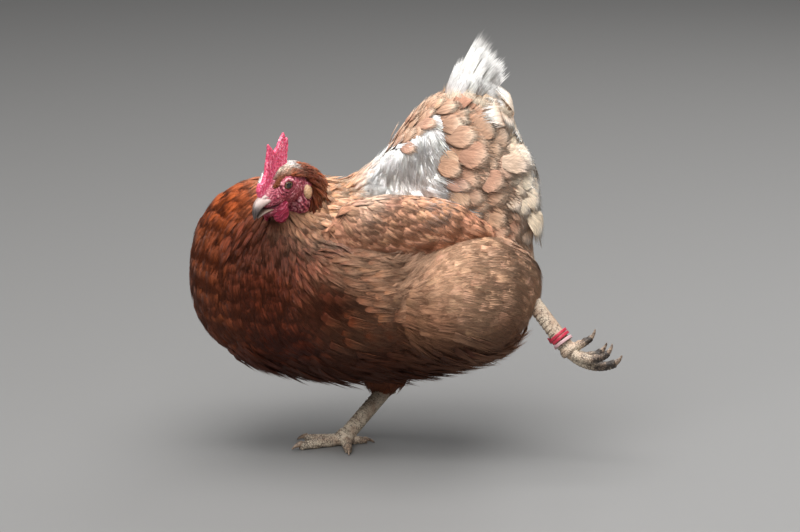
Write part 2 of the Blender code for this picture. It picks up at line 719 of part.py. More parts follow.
def main():
    surface, wings, tail = make_flesh()
    make_wings(surface, wings)
    make_tail(tail)
    make_head()
    scale, claw = material("leg_scale", SCALE, 0.55), material("claw_horn", CLAW_COLOUR, 0.4)
    ways = {}
    for toe, degrees in STANDING_WAYS.items():
        turn = math.radians(degrees)
        ways[toe] = ((-math.cos(turn), -math.sin(turn), 0), 0)
    down = Vector((0, 0, -1))
    shank = make_shank("shank_right", HOCK_RIGHT, BALL_RIGHT, Vector(ways["middle"][0]), "thigh_right", scale)
    make_foot("right", BALL_RIGHT, ways, down, shank, scale, claw)
    shank = make_shank("shank_left", HOCK_LEFT, BALL_LEFT, -KICKED_SOLE, "thigh_left", scale)
    make_foot("left", BALL_LEFT, KICKED_WAYS, KICKED_SOLE.normalized(), shank, scale, claw)
    make_ring(HOCK_LEFT, BALL_LEFT, -KICKED_SOLE)


clear_scene()
HEN = bpy.data.collections.new("hen")
bpy.context.scene.collection.children.link(HEN)
main()
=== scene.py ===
"""The looks of a brown laying hen, life size: skin, plumage, bare head, scaled legs and leg rings.

Metres, +Z up. The hen faces -X, and its left side faces -Y. Sizes below are in millimetres.
"""

import math
from collections import namedtuple

import bmesh
import bpy
import numpy as np
from mathutils import Euler, Matrix, Vector, noise
from mathutils.bvhtree import BVHTree
from mathutils.geometry import barycentric_transform


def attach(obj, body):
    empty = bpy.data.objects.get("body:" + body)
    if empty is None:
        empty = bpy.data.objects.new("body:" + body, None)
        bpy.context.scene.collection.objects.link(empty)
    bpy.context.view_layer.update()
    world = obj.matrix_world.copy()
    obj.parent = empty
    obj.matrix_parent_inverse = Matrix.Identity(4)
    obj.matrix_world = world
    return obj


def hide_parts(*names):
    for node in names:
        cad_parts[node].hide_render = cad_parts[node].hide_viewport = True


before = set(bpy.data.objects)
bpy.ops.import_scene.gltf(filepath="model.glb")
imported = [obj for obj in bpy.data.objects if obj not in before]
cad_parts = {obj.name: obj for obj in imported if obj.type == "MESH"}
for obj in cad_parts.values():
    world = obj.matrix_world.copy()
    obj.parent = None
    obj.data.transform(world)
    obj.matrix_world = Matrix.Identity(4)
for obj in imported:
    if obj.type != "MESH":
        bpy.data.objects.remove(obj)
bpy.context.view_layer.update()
MM = 0.001
SEED = 11
RNG = np.random.default_rng(SEED)
MID_Y = 4.0  # the midline of the trunk

# The camera: where it looks, how steeply it looks down in degrees, and how far away it is, with a long lens.
LOOK_AT = Vector((46.2, 0, 154.6))
CAMERA_RISE, CAMERA_AWAY, LENS = 12, 3733, 200

# Masses shared with the solids, in millimetres. The trunk is in upright sections (place along X, lowest and
# highest point, half width), and the raised rump in level sections (height, front, back, half width).
TRUNK = (
    (-130, 138, 165, 14), (-124, 113, 189, 36), (-110, 91, 211, 55), (-90, 77, 225, 67), (-64, 68, 232, 74),
    (-34, 62, 231, 78), (0, 60, 226, 80), (36, 61, 224, 79), (72, 64, 223, 76), (106, 71, 223, 70),
    (132, 82, 215, 61), (148, 101, 202, 46), (158, 130, 180, 22),
)
RUMP_FORM = (
    (150, 50, 138, 52), (166, 42, 151, 58), (182, 34, 159, 62), (206, 16, 163, 62), (226, 4, 162, 58),
    (243, 24, 157, 52), (258, 36, 150, 46), (273, 47, 143, 39), (286, 60, 137, 32), (296, 70, 132, 25),
    (303, 78, 126, 16),
)
DRUMSTICK = (
    ((42, 38, 122), 40), ((37, 36, 86), 32), ((34, 34, 64), 24), ((32, 33, 52), 16), ((30, 32, 43), 9),
    ((28, 30, 38), 6),
)
NECK = (((-38, 2, 172), 46), ((-39, -7, 200), 34), ((-39, -18, 219), 22), ((-40, -29, 230), 16))
WING_RADII, WING_CENTRE, WING_TURN = (74, 19, 36), (51, 53, 191), (30, 3, 0)
TAIL_STUMP = ((104, MID_Y, 284), (32, 15, 18), (0, 0, 0))
HEAD_CENTRE = Vector((-52.5, -46, 231.5))
BILL_WAY = Vector((-0.58, -0.79, -0.18)).normalized()
CROWN_WAY = Vector((-0.10, -0.15, 0.98))
SKULL = ((-7, 0, 0), (26, 15, 15.5), (0, 0, 0))
FACE = ((10, 0, -3), (17, 11, 12), (0, 12, 0))
JAW = ((7, 0, -12), (17, 9, 7.5), (0, 14, 0))
NAPE = ((-22, 0, -10), (17, 16, 19), (0, 0, 0))
CHEEK_LOBE = ((-14, 10.5, -18), (5.5, 3.8, 8.5), (0, 8, 0))
EYE_PLACE, EYE_R, EYE_TURN = np.array((3.5, 9.8, 4.6)), 5.2, -26
LID = ((4.2, 10.6, 4.6), (7.4, 4.4, 6.8), (0, 10, EYE_TURN))
LID_OPENING = ((6.0, 14.8, 4.6), (4.4, 3.9, 3.7), (0, 10, EYE_TURN))
EARLOBE = ((-17, 14.4, -8.5), (4.6, 2.8, 6.6), (0, 8, 0))
WATTLE = ((13, 7.8, -17.5), (7.2, 2.6, 9.0), (0, 0, -32))
COMB_THICK = 4.2
COMB_OUTLINE = (
    (29, 0), (30, 6), (27.5, 11.5), (22.5, 11.5), (17.5, 18), (15, 26), (12, 34), (10.3, 41), (7, 36.5),
    (4, 31.5), (-2, 35), (-7, 40.5), (-12, 44), (-12.5, 37.5), (-16, 38), (-14.5, 31), (-11.5, 23),
    (-9.5, 17), (-11, 12), (-10, 6), (15, 3),
)
BILL_SPINE = ((16, -3.0), (26, -4.4), (32, -6.6), (35.8, -10), (38.4, -16.4))
BILL_HALVES = ((7.6, 6.6), (6.2, 5.6), (4.7, 4.6), (3.1, 3.2), (0.5, 0.6))  # half width and half height
LOWER_SPINE = ((16, -12.8), (25, -12.4), (31, -13.6), (35, -15.6))
LOWER_HALVES = ((6.4, 2.8), (5.0, 2.4), (3.4, 1.8), (0.9, 0.6))
NOSTRIL = np.array((25.5, 5.4, -1.4))

# Legs: hock, ball of the foot, and for each toe the way it starts and how far it curls, in degrees.
SHANK_R, HOCK_R, BALL_R = 6.2, 8.4, 7.6
SOLE_PAD = ((-1, -0.5, -1.8), (9.0, 8.4, 7.4))
TOE_SIZES = {"inner": (30, 4.9), "middle": (41, 5.5), "outer": (35, 4.8), "hind": (17, 4.2)}
CLAW_LONG, CLAW_R = 8.0, 2.8
STANDING_TOES = {
    toe: ((-math.cos(math.radians(turn)), -math.sin(math.radians(turn)), 0), 0)
    for toe, turn in (("inner", 95), ("middle", 26), ("outer", -20), ("hind", 196))
}
KICKED_TOES = {
    "inner": ((0.72, 0.40, -0.56), 72), "middle": ((0.70, -0.04, -0.70), 72),
    "outer": ((0.78, -0.44, -0.48), 74), "hind": ((0.92, -0.10, 0.36), 18),
}
LEGS = {
    "right": (Vector((37, 32, 44)), Vector((0, 0, 7.2)), STANDING_TOES, Vector((0, 0, -1))),
    "left": (
        Vector((146, -62, 151)), Vector((186, -80, 100)), KICKED_TOES, Vector((0.52, 0, 0.85)).normalized(),
    ),
}
RING_AT, RING_R, RING_BAND = 0.80, 7.9, 1.3


def colour(red, green, blue):
    """A colour given as the eye reads it, from 0 to 255, in the renderer's own linear values."""
    shares = np.array((red, green, blue)) / 255
    return np.where(shares < 10 / 255, shares / 12.92, ((shares + 0.055) / 1.055) ** 2.4)


RUST, DARK_RUST = colour(156, 72, 30), colour(82, 32, 14)
# BELLY is partly the belly's own darker brown and partly painted shade under the body.
BREAST, BELLY = colour(108, 52, 26), colour(70, 36, 22)
FLANK, WING = colour(166, 118, 88), colour(198, 142, 112)
THIGH, RUMP = colour(214, 168, 136), colour(172, 131, 106)
CREAM, WHITE, SHANK_BROWN = colour(240, 222, 198), colour(252, 249, 245), colour(176, 100, 60)
SADDLE = colour(214, 158, 120)
RUMP_EDGE, PALE_THIGH, PALE_FLANK = colour(224, 194, 168), colour(208, 166, 134), colour(210, 172, 142)

# How the plumage lies: its kind, a place, the way the feathers point there, then length, half width, how high
# the tip stands over the skin, how frayed the end is, how pointed it is, and the colours of its middle and end.
# The body's and the wing's rows are given for the left side and mirrored.
BODY_COAT = (
    ("breast", (-88, -20, 224), (-0.8, -0.3, -0.6), 26, 5.6, 3.6, 0.9, 0.2, RUST, RUST),
    ("breast", (-112, -30, 195), (-0.5, -0.2, -0.9), 27, 6.6, 4, 0.9, 0.1, BREAST, RUST),
    ("breast", (-124, -20, 160), (0.0, 0, -1), 27, 7, 4, 0.9, 0.1, BREAST, BREAST),
    ("breast", (-112, -25, 110), (0.4, 0, -0.9), 27, 7, 4, 1.0, 0.1, BREAST, BREAST),
    ("breast", (-70, -70, 160), (0.25, 0, -1), 27, 6.6, 4, 0.9, 0.1, DARK_RUST, BREAST),
    ("breast", (-60, -62, 110), (0.6, 0, -0.8), 27, 6.8, 4, 1.1, 0.1, DARK_RUST, DARK_RUST),
    ("belly", (-40, -40, 68), (0.8, 0, -0.6), 30, 4, 8, 1.7, 0.3, BELLY, BREAST),
    ("belly", (-96, -30, 84), (0.7, 0, -0.7), 28, 4.2, 7, 1.6, 0.3, DARK_RUST, BREAST),
    ("belly", (40, -30, 60), (0.95, 0, -0.45), 28, 4.2, 8, 1.7, 0.3, BELLY, BREAST),
    ("belly", (100, -30, 75), (0.8, 0, -0.6), 28, 4.2, 8, 1.6, 0.3, BELLY, FLANK),
    ("flank", (-20, -82, 150), (0.75, 0, -0.6), 28, 4.7, 4, 1.2, 0.2, DARK_RUST, BREAST),
    ("flank", (0, -86, 132), (0.85, 0, -0.4), 28, 4.7, 4.5, 1.3, 0.2, BREAST, FLANK * 0.8),
    ("flank", (25, -84, 112), (0.95, 0, -0.25), 28, 4.7, 4.5, 1.3, 0.2, BREAST, FLANK),
    ("flank", (10, -70, 85), (0.95, 0, -0.4), 28, 4.4, 5.5, 1.5, 0.2, BELLY, BREAST),
    ("flank", (150, -30, 105), (-0.1, 0, -1), 25, 4.4, 6, 1.2, 0.2, FLANK, FLANK),
    ("hackle", (-48, -78, 180), (0.1, -0.2, -1), 31, 2.1, 3.5, 0.5, 0.8, DARK_RUST, RUST * 0.8),
    ("hackle", (-80, -50, 205), (-0.5, -0.5, -0.8), 28, 2.4, 3.5, 0.5, 0.7, DARK_RUST, BREAST),
    # Below the head: this row's darker copy of DARK_RUST is painted shade, and the darkened SADDLE ends of the
    # next two rows are partly painted shade.
    ("hackle", (-56, -66, 203), (0.0, -0.4, -1), 27, 2.1, 3.5, 0.5, 0.8, DARK_RUST * 0.6, BREAST * 0.8),
    ("hackle", (-20, -66, 205), (0.6, -0.3, -0.7), 31, 2.0, 4, 0.6, 0.8, DARK_RUST, SADDLE * 0.7),
    ("hackle", (-14, -70, 192), (0.55, -0.2, -0.8), 28, 2.0, 4, 0.6, 0.8, DARK_RUST, SADDLE * 0.6),
    ("saddle", (-24, -40, 224), (0.95, -0.15, -0.2), 32, 2.4, 3.5, 0.6, 0.65, SADDLE, CREAM),
    ("saddle", (-16, -12, 226), (1, 0, 0.1), 28, 3, 3.5, 0.6, 0.5, SADDLE, CREAM),
    ("saddle", (-10, -52, 218), (0.95, -0.1, -0.15), 32, 2.4, 3.5, 0.7, 0.65, SADDLE, CREAM),
    ("patch", (60, -40, 268), (0.0, -0.3, -1), 26, 2.6, 2.4, 1.0, 0.3, WHITE, WHITE),
    ("patch", (42, -34, 256), (-0.2, -0.4, -0.9), 26, 2.6, 2.4, 1.0, 0.3, WHITE, WHITE),
    ("patch", (62, -30, 280), (0.0, -0.4, -0.9), 26, 2.6, 2.4, 1.0, 0.3, WHITE, WHITE),
    ("patch", (26, -26, 246), (-0.7, -0.4, 0.3), 22, 2.2, 4, 1.3, 0.4, WHITE, WHITE),
    ("patch", (24, -42, 234), (-0.2, -0.4, -0.8), 24, 2.3, 3.5, 1.2, 0.4, WHITE, WHITE),
    ("patch", (12, -34, 230), (0.4, -0.4, 0.2), 24, 2.3, 3.5, 1.2, 0.4, WHITE, WHITE),
    ("patch", (16, -52, 222), (0.8, -0.3, -0.4), 28, 2.3, 3.5, 1.2, 0.4, WHITE, WHITE),
    ("patch", (50, -48, 240), (0.5, -0.3, -0.8), 27, 2.6, 2.4, 1.0, 0.3, WHITE, WHITE),
    ("patch", (48, -52, 226), (0.9, -0.2, -0.4), 28, 2.4, 4, 1.1, 0.3, WHITE, WHITE),
    ("patch", (68, -54, 228), (0.9, -0.2, -0.35), 28, 2.4, 4.5, 1.1, 0.3, WHITE, WHITE),
    ("rump", (50, 6, 272), (0.1, -0.3, 0.8), 26, 7, 5, 1.2, 0.1, RUMP, RUMP_EDGE),
    ("rump", (84, -30, 288), (0.5, -0.2, 0.6), 28, 9, 5, 1.2, 0, RUMP, CREAM),
    ("rump", (82, -44, 264), (0.9, 0, -0.1), 32, 12, 5, 1.5, 0, RUMP, RUMP_EDGE),
    ("rump", (84, -54, 244), (0.85, 0, -0.35), 32, 12.5, 5.5, 1.5, 0, RUMP, RUMP_EDGE),
    ("rump", (112, -54, 230), (0.8, 0, -0.5), 32, 12.5, 5.5, 1.5, 0, RUMP, RUMP_EDGE),
    ("rump", (112, -35, 284), (0.7, 0, 0.6), 30, 10, 6, 1.2, 0, RUMP, CREAM),
    ("rump", (136, -50, 205), (0.7, 0, -0.7), 32, 12.5, 5.5, 1.5, 0, RUMP, RUMP_EDGE),
    ("rump", (96, -14, 300), (0.2, 0, 0.95), 34, 7, 4.5, 1.4, 0.2, RUMP, CREAM),
    ("rump", (130, -22, 288), (0.7, 0, 0.7), 28, 10, 7, 1.2, 0, CREAM, WHITE),
    ("rump", (146, -22, 260), (0.95, 0, 0.1), 30, 11, 9, 1.5, 0, CREAM, WHITE),
    ("rump", (160, -25, 222), (0.9, 0, -0.3), 30, 11, 9, 1.5, 0, CREAM, WHITE),
    ("rump", (158, -20, 180), (0.6, 0, -0.8), 28, 10, 8, 1.2, 0, RUMP, CREAM),
)
WING_COAT = (
    ("wing", (-15, -66, 205), (0.75, 0, -0.5), 26, 4.6, 2.0, 0.8, 0.2, WING, WING),
    ("wing", (5, -74, 180), (0.85, 0, -0.3), 26, 4.8, 2.0, 0.8, 0.2, WING, WING),
    ("wing", (30, -64, 212), (0.72, 0, -0.65), 26, 4.4, 2.0, 0.8, 0.25, WING, SADDLE),
    ("wing", (45, -74, 175), (0.95, 0, -0.1), 27, 5.0, 2.0, 0.7, 0.15, WING, WING),
    ("wing", (60, -48, 226), (0.9, 0, -0.25), 28, 3.6, 2.6, 0.8, 0.4, SADDLE, WHITE),
    ("wing", (20, -46, 226), (0.9, 0, -0.2), 28, 3.4, 2.6, 0.8, 0.4, CREAM, WHITE),
    ("wing", (85, -64, 208), (0.8, 0, -0.6), 34, 4.2, 2.4, 0.6, 0.15, WING, SADDLE),
    ("wing", (110, -62, 195), (0.95, 0, -0.35), 36, 4.0, 2.4, 0.5, 0.15, WING, SADDLE),
)
TUFT_COAT = (
    ("tuft", (-6, -80, 172), (0.85, -0.05, 0.1), 30, 3.6, 5, 1.5, 0.3, FLANK * 0.7, PALE_FLANK),
    ("tuft", (14, -80, 178), (0.8, -0.25, 0.5), 27, 2.8, 8.5, 1.8, 0.4, FLANK * 0.8, PALE_FLANK),
    ("tuft", (40, -84, 168), (0.85, -0.25, 0.45), 28, 2.8, 9, 1.9, 0.4, FLANK * 0.8, PALE_FLANK),
    ("tuft", (18, -88, 146), (0.95, 0, 0.05), 30, 4.2, 4, 1.4, 0.25, FLANK, PALE_FLANK),
    ("tuft", (50, -90, 130), (0.97, 0, -0.1), 30, 4.6, 4.5, 1.4, 0.2, FLANK, FLANK),
)
# The right flank, smooth because its thigh isn't raised. Given as if on the left side, and mirrored.
SMOOTH_COAT = (
    ("tuft", (-6, -80, 172), (0.85, -0.05, -0.1), 30, 3.8, 4, 1.4, 0.3, FLANK * 0.7, PALE_FLANK),
    ("tuft", (20, -82, 182), (0.9, 0, -0.2), 29, 4.2, 4, 1.3, 0.25, FLANK * 0.8, PALE_FLANK),
    ("tuft", (50, -80, 178), (0.95, 0, -0.1), 29, 4.2, 4, 1.3, 0.25, FLANK, PALE_FLANK),
    ("tuft", (84, -74, 180), (0.9, 0, -0.3), 29, 4.4, 4, 1.3, 0.2, FLANK, PALE_FLANK),
    ("tuft", (18, -84, 146), (0.95, 0, 0), 30, 4.2, 4, 1.4, 0.25, FLANK, PALE_FLANK),
    ("tuft", (60, -80, 135), (0.97, 0, -0.1), 30, 4.6, 4.5, 1.4, 0.2, FLANK, FLANK),
)
THIGH_COAT = (
    ("thigh", (70, -72, 182), (0.85, -0.2, 0.5), 22, 3.9, 4, 1.4, 0.2, THIGH, PALE_THIGH),
    ("thigh", (104, -72, 190), (0.95, -0.15, 0.1), 23, 4.7, 4, 1.3, 0.1, THIGH, PALE_THIGH),
    ("thigh", (66, -92, 152), (0.95, -0.1, 0.15), 25, 4.7, 4, 1.2, 0.15, THIGH, PALE_THIGH),
    ("thigh", (97, -99, 146), (0.95, 0, -0.1), 24, 5, 4, 1.2, 0.1, THIGH, PALE_THIGH),
    ("thigh", (146, -86, 176), (0.8, 0.1, -0.4), 21, 4.4, 4, 1.2, 0.1, THIGH, PALE_THIGH),
    ("thigh", (162, -70, 152), (0.3, 0, -0.9), 16, 3.6, 3.5, 1.2, 0.2, THIGH, PALE_THIGH),
    ("thigh", (128, -86, 112), (0.7, 0, -0.7), 22, 4.4, 5, 1.4, 0.2, FLANK * 0.5, FLANK),
    ("belly", (95, -84, 98), (0.85, 0, -0.5), 26, 4.6, 7, 1.7, 0.3, BELLY, FLANK),
    ("belly", (60, -80, 90), (0.9, 0, -0.45), 27, 4.6, 6.5, 1.7, 0.3, BELLY, BREAST),
)
DRUMSTICK_COAT = (
    ("drumstick", (40, 70, 90), (0.1, 0, -1), 20, 4.6, 4.5, 1.1, 0.2, BREAST, SHANK_BROWN),
    ("drumstick", (36, 34, 60), (-0.1, 0, -1), 17, 3.8, 3.5, 1.1, 0.3, BREAST, SHANK_BROWN),
    ("drumstick", (30, 31, 40), (-0.3, 0, -1), 11, 2.4, 1.6, 1.0, 0.3, BREAST, SHANK_BROWN),
)
# The head's rows are in its own axes: along the bill, left, up.
HEAD_COAT = (
    ("crown", (-6, 1, 17), (-0.9, 0.3, 0.1), 11, 1.5, 2.6, 0.8, 0.5, WHITE, WHITE),
    ("crown", (2, 3, 17), (-0.9, 0.25, 0.15), 9, 1.3, 2.2, 0.8, 0.5, CREAM, CREAM),
    ("crown", (-14, 4, 16), (-0.85, 0.4, -0.1), 13, 1.4, 3.0, 0.7, 0.5, RUST, SADDLE),
    ("crown", (-12, 10, 12), (-0.85, 0.45, -0.2), 12, 1.4, 3.2, 0.7, 0.5, DARK_RUST, SHANK_BROWN),
    ("crown", (0, 9, 13), (-0.85, 0.4, 0.1), 9, 1.1, 2.2, 0.8, 0.5, RUST, SADDLE),
    ("crown", (11, 9, 9.5), (-0.75, 0.5, 0.4), 7, 0.9, 1.5, 0.8, 0.5, BREAST, SHANK_BROWN),
    ("crown", (17, 8, 6), (-0.6, 0.5, 0.6), 5, 0.8, 1.2, 0.8, 0.5, BREAST, SHANK_BROWN),
    ("crown", (8, -12, 12), (-0.2, -0.8, 0.5), 13, 1.6, 5, 1.2, 0.4, WHITE, WHITE),
    ("crown", (14, -10, 8), (-0.1, -0.8, 0.5), 11, 1.5, 4.5, 1.2, 0.4, WHITE, WHITE),
    ("mane", (-4, 13, 12), (-0.85, 0.4, -0.2), 13, 1.4, 3.4, 0.6, 0.6, DARK_RUST, SHANK_BROWN),
    ("mane", (-16, 13, 6), (-0.8, 0.35, -0.6), 18, 1.6, 5.0, 0.6, 0.7, DARK_RUST, SHANK_BROWN),
    ("mane", (-26, 14, -2), (-0.35, 0.3, -0.9), 21, 1.7, 6.0, 0.6, 0.7, BREAST, SADDLE * 0.8),
    ("mane", (-26, 12, -16), (0.1, 0.25, -0.95), 18, 1.7, 5.0, 0.6, 0.7, DARK_RUST, SADDLE * 0.8),
    ("mane", (-30, 0, 4), (-0.8, 0, -0.6), 18, 1.8, 5.0, 0.6, 0.6, RUST, SADDLE * 0.8),
    ("mane", (-20, -14, 0), (-0.6, -0.3, -0.7), 17, 2.0, 3.6, 0.6, 0.6, RUST, RUST),
    ("mane", (2, 0, -26), (0.3, 0, -0.9), 14, 1.8, 3, 0.6, 0.6, DARK_RUST, BREAST),
)
COAT_REACH = 16.0  # millimetres over which one row of the tables gives way to the next


def alone(obj):
    """Selects this object and nothing else."""
    bpy.ops.object.select_all(action="DESELECT")
    obj.select_set(True)
    bpy.context.view_layer.objects.active = obj
    return obj


def apply_modifiers(obj):
    alone(obj)
    for modifier in list(obj.modifiers):
        bpy.ops.object.modifier_apply(modifier=modifier.name)


def modifier(obj, kind, **settings):
    made = obj.modifiers.new(kind.lower(), kind)
    for name, value in settings.items():
        setattr(made, name, value)
    return made


def points_of(mesh):
    points = np.empty(len(mesh.vertices) * 3)
    mesh.vertices.foreach_get("co", points)
    return points.reshape(-1, 3) / MM


def move_points(mesh, points):
    mesh.vertices.foreach_set("co", (np.asarray(points) * MM).ravel())
    mesh.update()


def normals_of(mesh):
    normals = np.empty(len(mesh.vertices) * 3)
    mesh.vertex_normals.foreach_get("vector", normals)
    return normals.reshape(-1, 3)


def unit(vectors):
    return vectors / np.maximum(np.linalg.norm(vectors, axis=-1, keepdims=True), 1e-9)


def smoothstep(low, high, values):
    share = np.clip((values - low) / (high - low), 0, 1)
    return share * share * (3 - 2 * share)


def head_frame():
    left = CROWN_WAY.cross(BILL_WAY).normalized()
    turn = Matrix((BILL_WAY, left, BILL_WAY.cross(left))).transposed().to_4x4()
    return Matrix.Translation(HEAD_CENTRE) @ turn


HEAD = head_frame()
HEAD_TURN = np.array(HEAD.to_3x3())


def in_head(points):
    """World points in the head's own axes: along the bill, left, up."""
    return (points - np.array(HEAD_CENTRE)) @ HEAD_TURN


def out_of_head(points):
    return points @ HEAD_TURN.T + np.array(HEAD_CENTRE)


def mass(centre, radii, turn=(0, 0, 0), axes=Matrix.Identity(4), segments=32):
    """A rounded mass, for joining into a skin."""
    bpy.ops.mesh.primitive_uv_sphere_add(segments=segments, ring_count=segments // 2, radius=1)
    obj = bpy.context.object
    turned = Euler([math.radians(angle) for angle in turn])
    obj.data.transform(Matrix.Scale(MM, 4) @ axes @ Matrix.LocRotScale(Vector(centre), turned, Vector(radii)))
    return obj


def joined(name, pieces):
    bpy.ops.object.select_all(action="DESELECT")
    for piece in pieces:
        piece.select_set(True)
    bpy.context.view_layer.objects.active = pieces[0]
    bpy.ops.object.join()
    whole = bpy.context.object
    whole.name = whole.data.name = name
    whole.parent = None
    return whole


def one_skin(name, pieces, voxel, smoothing):
    """The pieces run together into one closed skin."""
    skin = joined(name, pieces)
    modifier(skin, "REMESH", mode="VOXEL", voxel_size=voxel * MM)
    modifier(skin, "SMOOTH", factor=0.6, iterations=smoothing)
    apply_modifiers(skin)
    return skin


def wing_axes(side):
    lean, droop, toe_in = (math.radians(angle) for angle in WING_TURN)
    x, y, z = WING_CENTRE
    turn = Euler((-lean * side, droop, toe_in * side)).to_matrix().to_4x4()
    return Matrix.Translation((x, MID_Y + side * y, z)) @ turn


# The plumage

def mirrored_rows(rows):
    flipped = []
    for kind, (x, y, z), (along, across, up), *rest in rows:
        flipped.append((kind, (x, 2 * MID_Y - y, z), (along, -across, up), *rest))
    return tuple(flipped)


class Groom:
    """How one part of the plumage lies, run smoothly together from its own rows."""

    def __init__(self, rows, reach=COAT_REACH):
        self.reach = reach
        self.kinds = sorted({row[0] for row in rows})
        self.kind = np.array([[row[0] == kind for kind in self.kinds] for row in rows], float)
        self.places = np.array([row[1] for row in rows], float)
        self.ways = unit(np.array([row[2] for row in rows], float))
        self.sizes = np.array([row[3:8] for row in rows], float)
        self.colours = np.array([row[8:10] for row in rows], float)

    def at(self, points):
        """The way, sizes, colours and kind of the feathers at each point."""
        apart = ((points[:, None, :] - self.places[None]) ** 2).sum(-1)
        weights = 1 / (apart + self.reach ** 2) ** 2.5
        weights /= weights.sum(1, keepdims=True)
        sharper = weights ** 1.6
        sharper /= sharper.sum(1, keepdims=True)
        kinds = (sharper @ self.kind).argmax(1)
        own = np.where(np.isin(np.array(self.kinds)[kinds], ("patch", "rump")), 0.95, 0.0)[:, None]
        same = weights ** 1.15 * (self.kind[:, kinds].T * own + 1 - own)
        colours = np.einsum("pr,rkc->pkc", same / same.sum(1, keepdims=True), self.colours)
        return unit(weights @ self.ways), weights @ self.sizes, colours, kinds


def head_rows():
    rows = []
    for kind, place, way, *rest in HEAD_COAT:
        rows.append((kind, out_of_head(np.array(place, float)), HEAD_TURN @ np.array(way, float), *rest))
    return rows


GROOMS = {
    "body": Groom(BODY_COAT + TUFT_COAT + mirrored_rows(BODY_COAT + SMOOTH_COAT) + THIGH_COAT),
    "wing_left": Groom(WING_COAT), "wing_right": Groom(mirrored_rows(WING_COAT)),
    "thigh_right": Groom(DRUMSTICK_COAT),
    "head": Groom(head_rows(), 5.0),
}


def bare_face(points):
    """How bare the skin is, from 0 in the plumage to 1 on the face."""
    forward, left, up = in_head(points).T
    crown = smoothstep(8.5, 11.0, up - 0.25 * forward + 3.6 * np.exp(-((forward - 11) / 4) ** 2))
    # the brow: a tongue of short feathers from the crown down between the comb and the eye
    share = np.clip((0.81 * (forward - 6) - 0.59 * (up - 14)) / 13.5, 0, 1)
    apart = np.hypot(forward - 6 - 10.9 * share, up - 14 + 7.9 * share)
    brow = smoothstep(3.2, 1.8, apart) * smoothstep(3, 5, np.abs(left))
    behind = smoothstep(-13, -17, forward + 4 * smoothstep(3, 0, up))
    below = smoothstep(-19, -25, up)
    aside = smoothstep(16, 19, np.abs(left))
    feathered = np.maximum.reduce([crown, brow, behind, below, aside])
    near = smoothstep(44, 36, np.linalg.norm(in_head(points) - np.array((8, 0, -4)), axis=1))
    return (1 - feathered) * near


class Surface:
    """A skin that feathers are set on and laid along."""

    def __init__(self, obj):
        mesh = obj.data
        mesh.calc_loop_triangles()
        count = len(mesh.loop_triangles)
        corners = np.empty(count * 3, int)
        mesh.loop_triangles.foreach_get("vertices", corners)
        loops = np.empty(count * 3, int)
        mesh.loop_triangles.foreach_get("loops", loops)
        uv = np.zeros(len(mesh.loops) * 2)
        if "unwrap" in mesh.uv_layers:
            mesh.uv_layers["unwrap"].data.foreach_get("uv", uv)
        self.corners = corners.reshape(-1, 3)
        self.points = points_of(mesh)
        self.normals = normals_of(mesh)
        self.uv = uv.reshape(-1, 2)[loops.reshape(-1, 3)]
        self.tree = BVHTree.FromPolygons([Vector(p) for p in self.points], self.corners.tolist())
        a, b, c = (self.points[self.corners[:, i]] for i in range(3))
        self.areas = np.linalg.norm(np.cross(b - a, c - a), axis=1) / 2
        self.area = self.areas.sum()

    def depth_of(self, points):
        """How deep inside the form each point lies, in millimetres."""
        places, normals, _ = self.nearest(points)
        return ((places - points) * normals).sum(1)

    def nearest(self, points):
        """The nearest places on the skin, with their normals and unwrapped places."""
        hits = [self.tree.find_nearest(Vector(point)) for point in points]
        places = np.array([hit[0] for hit in hits])
        return self.facts(places, np.array([hit[2] for hit in hits]))

    def facts(self, places, faces):
        a, b, c = (self.points[self.corners[faces, i]] for i in range(3))
        whole = np.cross(b - a, c - a)
        size = np.maximum((whole ** 2).sum(1), 1e-12)
        shares = np.stack([
            (np.cross(c - b, places - b) * whole).sum(1) / size,
            (np.cross(a - c, places - c) * whole).sum(1) / size,
            (np.cross(b - a, places - a) * whole).sum(1) / size,
        ], 1)
        normals = unit((shares[:, :, None] * self.normals[self.corners[faces]]).sum(1))
        return places, normals, (shares[:, :, None] * self.uv[faces]).sum(1)

    def scatter(self, tries):
        """Many places spread evenly at random over the skin."""
        a, b, c = (self.points[self.corners[:, i]] for i in range(3))
        faces = RNG.choice(len(self.areas), tries, p=self.areas / self.area)
        first, second = RNG.random((2, tries))
        over = first + second > 1
        first[over], second[over] = 1 - first[over], 1 - second[over]
        places = a[faces] + first[:, None] * (b - a)[faces] + second[:, None] * (c - a)[faces]
        return self.facts(places, faces)


def thinned(places, gaps):
    """Drops places that lie nearer to a kept one than the gap there."""
    cell = gaps.max()
    keys = np.floor(places / cell).astype(int)
    kept, grid = [], {}
    around = [(i, j, k) for i in (-1, 0, 1) for j in (-1, 0, 1) for k in (-1, 0, 1)]
    spots = places.tolist()
    for index, (x, y, z) in enumerate(keys.tolist()):
        px, py, pz = spots[index]
        limit = gaps[index] ** 2
        clear = True
        for i, j, k in around:
            for qx, qy, qz in grid.get((x + i, y + j, z + k), ()):
                if (px - qx) ** 2 + (py - qy) ** 2 + (pz - qz) ** 2 < limit:
                    clear = False
                    break
            if not clear:
                break
        if clear:
            grid.setdefault((x, y, z), []).append((px, py, pz))
            kept.append(index)
    return np.array(kept)


